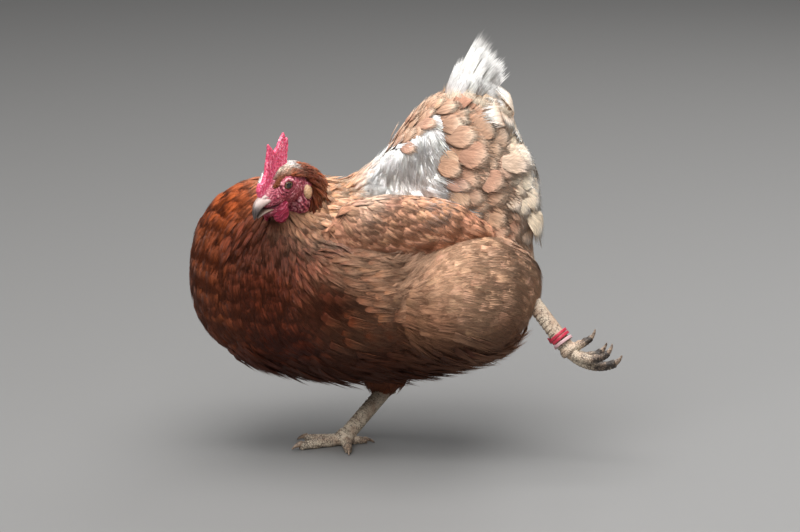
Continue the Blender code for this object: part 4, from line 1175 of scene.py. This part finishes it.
def make_legs():
    scales = Finish("leg_scales", 0.55, Specular_IOR_Level=0.4)
    seam = scales.node("Attribute", out="Fac", attribute_name="seam")
    dirt = scales.clouds(260, 5, rough=0.7)
    mud = scales.node("Attribute", out="Fac", attribute_name="mud")
    net = 1 - scales.ramp(scales.cells(560, "DISTANCE_TO_EDGE"), 0.03, 0.16)
    blotch = scales.ramp(scales.clouds(90, 3), 0.35, 0.7)
    tone = scales.mix(blotch, colour(206, 190, 168), colour(172, 146, 124))
    tone = scales.mix(scales.ramp(seam + dirt * 0.8, 0.7, 1.2) * 0.8, tone, colour(88, 66, 54))
    tone = scales.mix(net * scales.ramp(dirt + mud * 0.3, 0.40, 0.60) * 0.85, tone, colour(66, 50, 42))
    scales.set(Base_Color=scales.mix(scales.ramp(dirt + mud * 0.42, 0.60, 0.98), tone, colour(44, 35, 30)))
    scales.bump(scales.cells(560, "SMOOTH_F1") * -1.0 + scales.clouds(1200, 2) * 0.4, 0.3)
    horn = Finish("claw_horn", 0.4)
    streak = horn.clouds(500, 4)
    horn.set(Base_Color=horn.mix(horn.ramp(streak, 0.35, 0.7), colour(150, 128, 108), colour(74, 58, 48)))
    horn.bump(streak, 0.1)
    for hand, (hock, ball, toes, sole) in LEGS.items():
        floor = hand == "right"
        front = Vector(toes["middle"][0]) if floor else -Vector((0.52, 0, 0.85))
        limbs = [shank_limb(hock, ball, front)]
        claws = []
        for toe, (way, curl) in toes.items():
            long, thick = TOE_SIZES[toe]
            way = Vector(way).normalized()
            start = ball + way * 2 + (sole * 3 if toe == "hind" else sole * 0)
            line = curled_line(start, way, sole, long, curl)
            share = np.linspace(0, 1, len(line))
            radii = thick * (1 - 0.38 * share)
            if floor:
                line[:, 2] = radii * 0.92
            end = radii[-1]
            radii = radii * np.sqrt(np.clip(1 - (np.maximum(0, share - 0.94) / 0.065) ** 2, 0.01, 1))
            limbs.append(Limb("toe", line, radii, -sole))
            tip_way = Vector(unit(line[-1] - line[-5]))
            root = Vector(line[-1]) - tip_way * 3
            if floor:
                root.z = end * 1.5
            claw_line = curled_line(root, tip_way, sole, CLAW_LONG + 3, 40 if floor else 50)
            share = np.linspace(0, 1, len(claw_line))
            claw_radii = min(CLAW_R, end * 0.86) * (1 - 0.85 * share ** 1.3)
            claws.append((toe, Limb("claw", claw_line, claw_radii, -sole, 0.82)))
        pieces = [limb.draw(f"limb_{hand}_{i}", floor) for i, limb in enumerate(limbs)]
        if floor:
            pad = mass(tuple(np.array(ball) + SOLE_PAD[0]), SOLE_PAD[1])
            points = points_of(pad.data)
            points[:, 2] = np.maximum(points[:, 2], 0)
            move_points(pad.data, points)
            pieces.append(pad)
        leg = one_skin(f"leg_{hand}", pieces, 0.5, 2)
        points = points_of(leg.data)
        rise, seams, mud = scale_relief(limbs, points)
        points = points + normals_of(leg.data) * rise[:, None]
        if floor:
            points[:, 2] = np.maximum(points[:, 2], 0.02)
        move_points(leg.data, points)
        for name, values in (("seam", seams), ("mud", mud if hand == "left" else mud * 0.45)):
            attribute = leg.data.attributes.new(name, "FLOAT", "POINT")
            attribute.data.foreach_set("value", values)
        nodes = [f"shank_{hand}"] + [f"toe_{hand}_{toe}" for toe in toes]
        dress(leg, scales.material, nodes)
        for toe, claw in claws:
            name = f"claw_{hand}_{toe}"
            claw.draw(name + "_horn", floor, 20, 24, made=horn.material, slot="claw_horn", nodes=(name,))


def make_rings():
    """Flat plastic bands wound round the kicked shank."""
    hock, ball, _, _ = LEGS["left"]
    along = (ball - hock).normalized()
    toes_way = -Vector((0.52, 0, 0.85))
    front = (toes_way - along * toes_way.dot(along)).normalized()
    axes = np.array([front, along.cross(front), along])
    centre = np.array(hock.lerp(ball, RING_AT))
    for name, turns, shift, tone, slot in (
        ("leg_ring_red", 2, -4.6, colour(176, 40, 62), "ring_red"),
        ("leg_ring_pale", 1, 4.4, colour(196, 158, 160), "ring_pale"),
    ):
        whole = 2 * math.pi * (18 * turns - 2) / 18
        def place(around, length, turns=turns, shift=shift, whole=whole):
            turn = whole * length
            corner = 2 * math.pi * around
            deep = np.sign(np.cos(corner)) * np.abs(np.cos(corner)) ** 0.4
            side = np.sign(np.sin(corner)) * np.abs(np.sin(corner)) ** 0.4
            end = np.where((length < 0.001) | (length > 0.999), 0.02, 1.0)
            out = RING_R + 0.6 + 0.6 * deep * end
            rise = shift + (turns > 1) * (2 * RING_BAND + 0.5) * turn / (2 * math.pi) + RING_BAND * side * end
            return centre + np.column_stack([np.cos(turn) * out, np.sin(turn) * out, rise]) @ axes
        plastic = Finish(name + "_plastic", 0.32, Coat_Weight=0.3, Coat_Roughness=0.2)
        worn = plastic.clouds(300, 4)
        plastic.set(Base_Color=plastic.mix(plastic.ramp(worn, 0.5, 0.8) * 0.5, tone, tone * 0.55))
        plastic.set(Roughness=0.25 + worn * 0.3)
        plastic.bump(worn, 0.05)
        shaped(name + "_band", 24, 90 * turns, place, plastic.material, slot, (name,))


# The flanks in front of the thighs, and the raised left thigh. Both are part of the body's own form.
TUFT = ((6, -57, 138), (64, 27, 48), (0, 12, 0))
TUFT_RIGHT = ((6, 58, 138), (60, 20, 42), (0, 12, 0))
THIGH = ((103, -59, 140), (63, 40, 50), (0, -29, 0))
# Hollows pressed into the forms, where the photo shows deep shade, and one opposite: place, how wide, how deep.
HOLLOWS = (
    ((54, -78, 168), 11, 8), ((66, -72, 178), 9, 5), ((122, -62, 206), 10, 5), ((60, -88, 140), 24, 5),
    ((-24, -60, 200), 22, 14), ((-24, 68, 200), 22, 14), ((108, -52, 214), 8, 4),
)


def form(name, pieces, voxel, groom, share=0.9):
    """A smooth form under the plumage: its masses run together and set in by the depth of the coat there."""
    made = one_skin(name, pieces, voxel, 5)
    points = points_of(made.data)
    depth = (groom.at(points)[1][:, 2] * share)[:, None]
    for place, wide, deep in HOLLOWS:
        depth = depth + deep * np.exp(-((points - place) ** 2).sum(1, keepdims=True) / wide ** 2)
    move_points(made.data, points - normals_of(made.data) * depth)
    modifier(made, "SMOOTH", factor=0.5, iterations=9 if name == "body_form" else 4)
    apply_modifiers(made)
    return made


def rounded(turn, power):
    """A rounded square: power 2 is a circle, more is squarer."""
    c, s = np.cos(turn), np.sin(turn)
    return np.sign(c) * np.abs(c) ** (2 / power), np.sign(s) * np.abs(s) ** (2 / power)


def sections(table, along):
    """The numbers of a table of sections, read evenly along it, and how far the ends close."""
    table = np.array(table, float)
    steps = np.linspace(0, 1, len(table))
    end = np.where(np.abs(along - 0.5) > 0.499, 0.02, 1)
    return [np.interp(along, steps, column) for column in table.T] + [end]


def trunk_place(around, along):
    x, low, high, half, end = sections(TRUNK, along)
    turn = 2 * math.pi * around
    y, z = rounded(turn, np.where(np.sin(turn) > 0, 1.75, 2.1))
    middle = low + (high - low) * 0.46
    reach = np.where(z > 0, high - middle, middle - low) * end
    return np.column_stack([x, MID_Y + y * half * end, middle + z * reach])


def rump_place(around, along):
    z, front, back, half, end = sections(RUMP_FORM, along)
    x, y = rounded(2 * math.pi * around, 2.1)
    return np.column_stack([(front + back) / 2 + x * (back - front) / 2 * end, MID_Y + y * half * end, z])


def beads(table, between=4):
    """Round masses along a line of centres and radii."""
    centres = np.array([row[0] for row in table], float)
    radii = np.array([row[1] for row in table], float)
    spots = np.linspace(0, len(table) - 1, (len(table) - 1) * between + 1)
    whole = np.arange(len(table))
    line = np.column_stack([np.interp(spots, whole, column) for column in centres.T])
    return [mass(tuple(place), (radius,) * 3) for place, radius in zip(line, np.interp(spots, whole, radii))]


def make_forms():
    body = [shaped("trunk_mass", 48, 60, trunk_place), shaped("rump_mass", 48, 40, rump_place)]
    body += [mass(*TAIL_STUMP)] + beads(NECK) + [mass(*TUFT), mass(*TUFT_RIGHT), mass(*THIGH)]
    wing = tuple(radius + more for radius, more in zip(WING_RADII, (3, 2, 4)))
    head = [mass(*lump, axes=HEAD) for lump in (SKULL, FACE, JAW, NAPE)]
    head += [mass(centre, (radius,) * 3) for centre, radius in NECK[2:]]
    pieces = {
        "body": (body, 3.0), "head": (head, 1.5),
        "wing_left": ([mass((0, 0, 0), wing, axes=wing_axes(-1))], 3.0),
        "wing_right": ([mass((0, 0, 0), wing, axes=wing_axes(1))], 3.0),
        "thigh_right": (beads(DRUMSTICK), 3.0),
    }
    return {
        name: form(name + "_form", parts, voxel, GROOMS[name], 0.1 if name == "head" else 0.9)
        for name, (parts, voxel) in pieces.items()
    }


def make_skin(forms):
    """One skin under the plumage, from all the forms together."""
    skin = one_skin("body_skin", [copied(form) for form in forms.values()], 2.5, 1)
    points = points_of(skin.data)
    move_points(skin.data, points - normals_of(skin.data) * 0.4)
    alone(skin)
    bpy.ops.object.mode_set(mode="EDIT")
    bpy.ops.mesh.select_all(action="SELECT")
    bpy.ops.uv.smart_project(angle_limit=math.radians(66), island_margin=0.004)
    bpy.ops.object.mode_set(mode="OBJECT")
    skin.data.uv_layers[0].name = "unwrap"
    # The skin under the plumage takes the feathers' colour darkened: painted shade deep in the coat, between the
    # feathers.
    tints = GROOMS["body"].at(points)[2][:, 0] * 0.7
    attribute = skin.data.color_attributes.new("tint", "FLOAT_COLOR", "POINT")
    attribute.data.foreach_set("color", np.concatenate([tints, np.ones((len(tints), 1))], 1).ravel())
    skin.data.materials.clear()
    skin.data.materials.append(skin_finish("under_plumage"))
    skin.data.shade_smooth()
    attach(skin, "root")
    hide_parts("torso", "neck", "rump", "thigh_left", "thigh_right")
    return skin


def copied(obj):
    copy = bpy.data.objects.new(obj.name + "_copy", obj.data.copy())
    bpy.context.scene.collection.objects.link(copy)
    return copy


# Each kind of feather: its slot and vane, how far its edges bend down (cup), how much of its lift comes late
# (step), the gap between feathers as a share of their half width, how strong the pale line of the shaft is, how
# much brightness (uneven) and direction (turn) differ from one to the next, and the share of loose ones.
Kind = namedtuple("Kind", "slot vane cup step gap shaft uneven turn loose")
KINDS = {
    "breast": Kind("breast_plumage", BODY_VANE, 0.04, 0.2, 0.50, 0.03, 0.035, 0.06, 0.0),
    "belly": Kind("thigh_plumage", SOFT_VANE, 0.03, 0.3, 0.60, 0.03, 0.08, 0.10, 0.25),
    "flank": Kind("thigh_plumage", SOFT_VANE, 0.03, 0.2, 0.50, 0.03, 0.06, 0.09, 0.06),
    "hackle": Kind("hackle_plumage", SLIM_VANE, 0.06, 0.3, 0.72, 0.24, 0.12, 0.08, 0.06),
    "saddle": Kind("hackle_plumage", SLIM_VANE, 0.05, 0.3, 0.70, 0.25, 0.10, 0.08, 0.06),
    "patch": Kind("rump_plumage", DOWN_VANE, 0.02, 0.4, 0.50, 0.03, 0.02, 0.10, 0.03),
    "rump": Kind("rump_plumage", LOBE_VANE, 0.06, 0.4, 0.60, 0.04, 0.035, 0.12, 0.04),
    "wing": Kind("wing_feathers", BODY_VANE, 0.03, 0.1, 0.52, 0.04, 0.05, 0.06, 0.0),
    "tuft": Kind("thigh_plumage", SOFT_VANE, 0.03, 0.4, 0.52, 0.03, 0.07, 0.12, 0.25),
    "thigh": Kind("thigh_plumage", SOFT_VANE, 0.03, 0.2, 0.50, 0.03, 0.03, 0.09, 0.0),
    "drumstick": Kind("thigh_plumage", SOFT_VANE, 0.03, 0.15, 0.60, 0.03, 0.06, 0.08, 0.15),
    "crown": Kind("hackle_plumage", SLIM_VANE, 0.04, 0.4, 0.66, 0.05, 0.08, 0.10, 0.0),
    "mane": Kind("hackle_plumage", SLIM_VANE, 0.05, 0.3, 0.62, 0.15, 0.12, 0.08, 0.03),
}
MOST_TRIANGLES = 190000  # in one coat piece
LOOSE_LIFT = 1.7  # how much higher a loose feather stands
TRY_GAP, HEAD_TRY_GAP = 2.2, 0.9  # millimetres apart, on average, of the places tried for feathers
TRIES, QUICK_TRIES, QUICK_GAP = 3.0, 0.6, 1.8
BURIED, LEAST_BURIED = 4.0, 1.0  # how deep in another form a root may lie: of the body or a wing, and of the rest
BARE = 0.35  # how bare the skin may be where feathers still grow


def make_coat(forms, skin):
    """Feathers set all over each form, where it isn't inside another one, and laid along it."""
    root_skin = Surface(skin)
    surfaces = {name: Surface(form) for name, form in forms.items()}
    gathered = {}
    for name, surface in surfaces.items():
        groom = GROOMS[name]
        gap = HEAD_TRY_GAP if name == "head" else TRY_GAP
        tries = int(surface.area / gap ** 2 * TRIES)
        places, normals, _ = surface.scatter(tries)
        ways, sizes, colours, kinds = groom.at(places)
        shares = np.array([KINDS[kind].gap for kind in groom.kinds])[kinds]
        keep = thinned(places, sizes[:, 1] * shares * (1))
        for other, blocker in surfaces.items():
            if other != name:
                allowed = BURIED if name.startswith("wing") or name == "body" else LEAST_BURIED
                keep = keep[blocker.depth_of(places[keep]) < allowed]
        if name in ("head", "body"):
            keep = keep[bare_face(places[keep]) < BARE]
        places, normals, ways, sizes, colours, kinds = (
            values[keep] for values in (places, normals, ways, sizes, colours, kinds)
        )
        count = len(places)
        turns = np.array([KINDS[kind].turn for kind in groom.kinds])[kinds]
        ways = unit(ways + turns[:, None] * RNG.standard_normal((count, 3)))
        sizes[:, :3] *= 1 + 0.12 * RNG.standard_normal((count, 3))
        loose = RNG.random(count) < np.array([KINDS[kind].loose for kind in groom.kinds])[kinds]
        sizes[loose, 2] *= LOOSE_LIFT
        lines, tops, heads = walk(surface, places, normals, ways, sizes[:, 0])
        roots_uv = root_skin.nearest(places)[2]
        for number, kind in enumerate(groom.kinds):
            own = kinds == number
            label = kind + name[4:] if name.startswith("wing") else kind
            parts = gathered.setdefault(label, (kind, []))[1]
            parts.append([values[own] for values in (lines, tops, heads, sizes, colours, roots_uv)])
    for label, (kind, parts) in gathered.items():
        plant(label, kind, [np.concatenate(values) for values in zip(*parts)])
    return surfaces, root_skin


def plant(label, kind, feathers):
    """Makes the coat pieces of one kind of feather."""
    own = KINDS[kind]
    vane = own.vane
    streaks = 0.2 if kind == "patch" else 0.5
    made = bpy.data.materials.get(kind + "_feather") or plumage(kind + "_feather", own.shaft, 0.4, streaks)
    parts = math.ceil(len(feathers[0]) * len(vane.faces) / MOST_TRIANGLES)
    for part in range(parts):
        lines, tops, heads, sizes, colours, roots_uv = (values[part::parts] for values in feathers)
        points, across, along, v = vane_points(vane, lines, tops, heads, sizes, own.cup, own.step)
        tints = tuft_colours(v, colours, own.uneven)
        name = f"{label}_feathers" + (f"_{part + 1}" if parts > 1 else "")
        obj = feather_object(name, vane, points, tints, np.stack([across, along], -1), roots_uv, made)


# Flight feathers and coverts of a wing, from the topmost to the lowest. Roots and tips are measured from the
# wing's middle, towards the tail and towards its top edge.
FLIGHT_ROOTS, FLIGHT_TIPS, FLIGHTS = ((-6, 20), (0, -18)), ((80, -3), (50, -20)), 11
COVERT_ROOTS, COVERT_TIPS, COVERTS = ((-22, 22), (-24, -18)), ((40, 12), (20, -23)), 11
TAIL_ROOT = np.array((83, MID_Y, 285.0))
# Tiers of the tail: how many a side, length of the first and how much shorter the last, half width, lean of
# the first and how much more the last leans, splay and its spread, how deep, how far back and how far apart the
# roots are, and the colours.
TAIL_TIERS = (
    ("rectrices", 11, 70, 25, 7.5, (20, 11), (1, 10), (2, 18, 1.0), (WHITE * 0.74, WHITE * 0.84)),
    ("tail_coverts", 13, 50, 14, 6.5, (11, 20), (2, 18), (6, 18, 2), (WHITE * 0.7, WHITE * 0.84)),
    ("tail_base", 17, 42, 8, 6.5, (4, 34), (4, 16), (20, 26, 7), (RUMP, CREAM * 0.85)),
)


def on_wing(surface, side, spots):
    """Places on the skin under these spots of the wing's own plane, with normals and unwrapped places."""
    axes = wing_axes(side)
    inward = axes.to_3x3() @ Vector((0, -side, 0))
    places, faces = [], []
    for along, up in spots:
        outside = axes @ Vector((along, side * 120, up))
        hit = surface.tree.ray_cast(outside, inward)
        hit = hit if hit[0] is not None else surface.tree.find_nearest(axes @ Vector((along, 0, up)))
        places.append(hit[0])
        faces.append(hit[2])
    return surface.facts(np.array(places), np.array(faces))[:2]


def make_flights(surfaces, root_skin):
    """The flight feathers and the long coverts over them, laid along each folded wing."""
    made = plumage("flight_feather", 0.15, 0.5, 0.6, 0.6)
    tiers = (
        (FLIGHT_ROOTS, FLIGHT_TIPS, FLIGHTS, 6.2, 1.4, 1.4),
        (COVERT_ROOTS, COVERT_TIPS, COVERTS, 6.0, 1.4, 0.6),
    )
    for side, name in ((-1, "wing_left"), (1, "wing_right")):
        surface = surfaces[name]
        for label, (roots, tips, count, half, first, spread) in zip(("flights", "long_coverts"), tiers):
            share = np.linspace(0, 1, count)[:, None]
            starts = np.array(roots[0]) * (1 - share) + np.array(roots[1]) * share
            ends = np.array(tips[0]) * (1 - share) + np.array(tips[1]) * share
            places, normals = on_wing(surface, side, starts)
            roots_uv = root_skin.nearest(places)[2]
            longs = np.linalg.norm(ends - starts, axis=1)
            axes = np.array(wing_axes(side).to_3x3())
            along_wing, up_wing = (ends - starts).T
            ways = np.column_stack([along_wing, np.zeros(count), up_wing]) @ axes.T
            lines, tops, heads = walk(surface, places, normals, unit(ways), longs)
            lifts = first + spread * (0.5 - share[:, 0])
            sizes = np.column_stack([longs, *np.broadcast_arrays(half, lifts, 0.25, 0.25)])
            points, across, along, v = vane_points(LONG_VANE, lines, tops, heads, sizes, 0.08, 0.1, 0.3)
            colours = np.repeat(np.array([[WING, SADDLE]]), count, 0)
            tints = tuft_colours(v, colours, 0.12)
            obj = feather_object(
                f"{name}_{label}", LONG_VANE, points, tints, np.stack([across, along], -1), roots_uv, made
            )
            if label == "flights":
                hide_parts(name)


def make_tail(surface):
    """The tail: a tent of long cream feathers, with shorter coverts over their bases."""
    made = plumage("tail_feather", 0.3, 0.5, 0.35, 0.62)
    for label, count, long, shorter, half, leans, splays, roots, tones in TAIL_TIERS:
        (lean, fan), (out, spread), (sink, reach_back, apart) = leans, splays, roots
        lines, tops, heads, sizes = [], [], [], []
        for side in (-1, 1):
            for share in np.linspace(0, 1, count):
                tilt, splay = math.radians(lean + fan * share), math.radians(out + spread * share)
                upright = math.cos(tilt)
                way = np.array((math.sin(tilt), side * math.sin(splay) * upright, upright * math.cos(splay)))
                wide = apart + 7 * math.sin(math.pi * min(1, share + 0.15))
                root = TAIL_ROOT + (reach_back * share, side * wide, -sink)
                root = root + RNG.normal(0, 1.2, 3) * (1, 0.3, 1)
                reach = (long - shorter * share) * (1 + RNG.normal(0, 0.03))
                bend = np.array((6 + RNG.normal(0, 1.5), side * 2, -1.0))
                line = root + WALK[:, None] * way * reach + WALK[:, None] ** 2 * bend
                turn = math.radians(52) * (1 - share) ** 1.5
                across = math.cos(turn) * np.array((upright, 0, -math.sin(tilt)))
                across = across + (0, side * math.sin(turn), 0)
                lines.append(line)
                heads.append(unit(way * reach + 2 * WALK[:, None] * bend))
                tops.append(np.repeat(unit(np.cross(across, way) * -side)[None], len(WALK), 0))
                sizes.append((reach, half * (1 + RNG.normal(0, 0.1)), 1.2 + 1.2 * (1 - share), 0.8, 0.3))
        lines, tops, heads = np.array(lines), np.array(tops), np.array(heads)
        roots_uv = surface.nearest(lines[:, 0])[2]
        points, across, along, v = vane_points(LONG_VANE, lines, tops, heads, np.array(sizes), 0.10, 0.4, 0.3)
        tints = tuft_colours(v, np.repeat(np.array([tones]), 2 * count, 0), 0.04)
        warm = (1 - smoothstep(0.25, 0.62, v))[..., None]
        tints = tints * (1 - warm * (0.18, 0.38, 0.48))
        obj = feather_object(label, LONG_VANE, points, tints, np.stack([across, along], -1), roots_uv, made)
        if label == "rectrices":
            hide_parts("tail")


def studio():
    """A plain grey floor, soft light and the camera."""
    bpy.ops.mesh.primitive_plane_add(size=30, location=(0, 0, 0))
    floor = bpy.context.object
    floor.name = "floor"
    finish = Finish("floor_paint", 0.6, Base_Color=(0.17, 0.167, 0.163, 1))
    floor.data.materials.append(finish.material)
    middle = LOOK_AT * MM
    for name, place, size, power in (
        ("key", (-0.5, -1.7, 2.4), 2.6, 110), ("fill", (1.9, -1.7, 1.0), 1.8, 4),
        ("top", (0.1, 0.0, 2.4), 2.6, 92), ("rim", (0.9, 1.9, 1.5), 1.2, 16),
    ):
        light = bpy.data.lights.new(name, "AREA")
        light.energy, light.size = power, size
        lamp = bpy.data.objects.new(name, light)
        bpy.context.scene.collection.objects.link(lamp)
        lamp.location = place
        lamp.rotation_euler = (middle - Vector(place)).to_track_quat("-Z", "Y").to_euler()
    world = bpy.data.worlds.new("studio")
    world.use_nodes = True
    world.node_tree.nodes["Background"].inputs[0].default_value = (0.86, 0.88, 0.9, 1)
    world.node_tree.nodes["Background"].inputs[1].default_value = 0.11
    bpy.context.scene.world = world
    bpy.context.scene.view_settings.view_transform = "Standard"
    lens = bpy.data.cameras.new("camera")
    lens.lens, lens.sensor_width, lens.clip_end = LENS, 36, 50
    camera = bpy.data.objects.new("camera", lens)
    bpy.context.scene.collection.objects.link(camera)
    rise = math.radians(CAMERA_RISE)
    camera.location = middle + Vector((0, -math.cos(rise), math.sin(rise))) * CAMERA_AWAY * MM
    camera.rotation_euler = (middle - camera.location).to_track_quat("-Z", "Y").to_euler()
    bpy.context.scene.camera = camera


studio()
forms = make_forms()
skin = make_skin(forms)
surfaces, root_skin = make_coat(forms, skin)
for shape in forms.values():
    bpy.data.objects.remove(shape)
make_flights(surfaces, root_skin)
make_tail(root_skin)
make_face()
make_comb()
make_lobes()
make_bill()
make_legs()
make_rings()
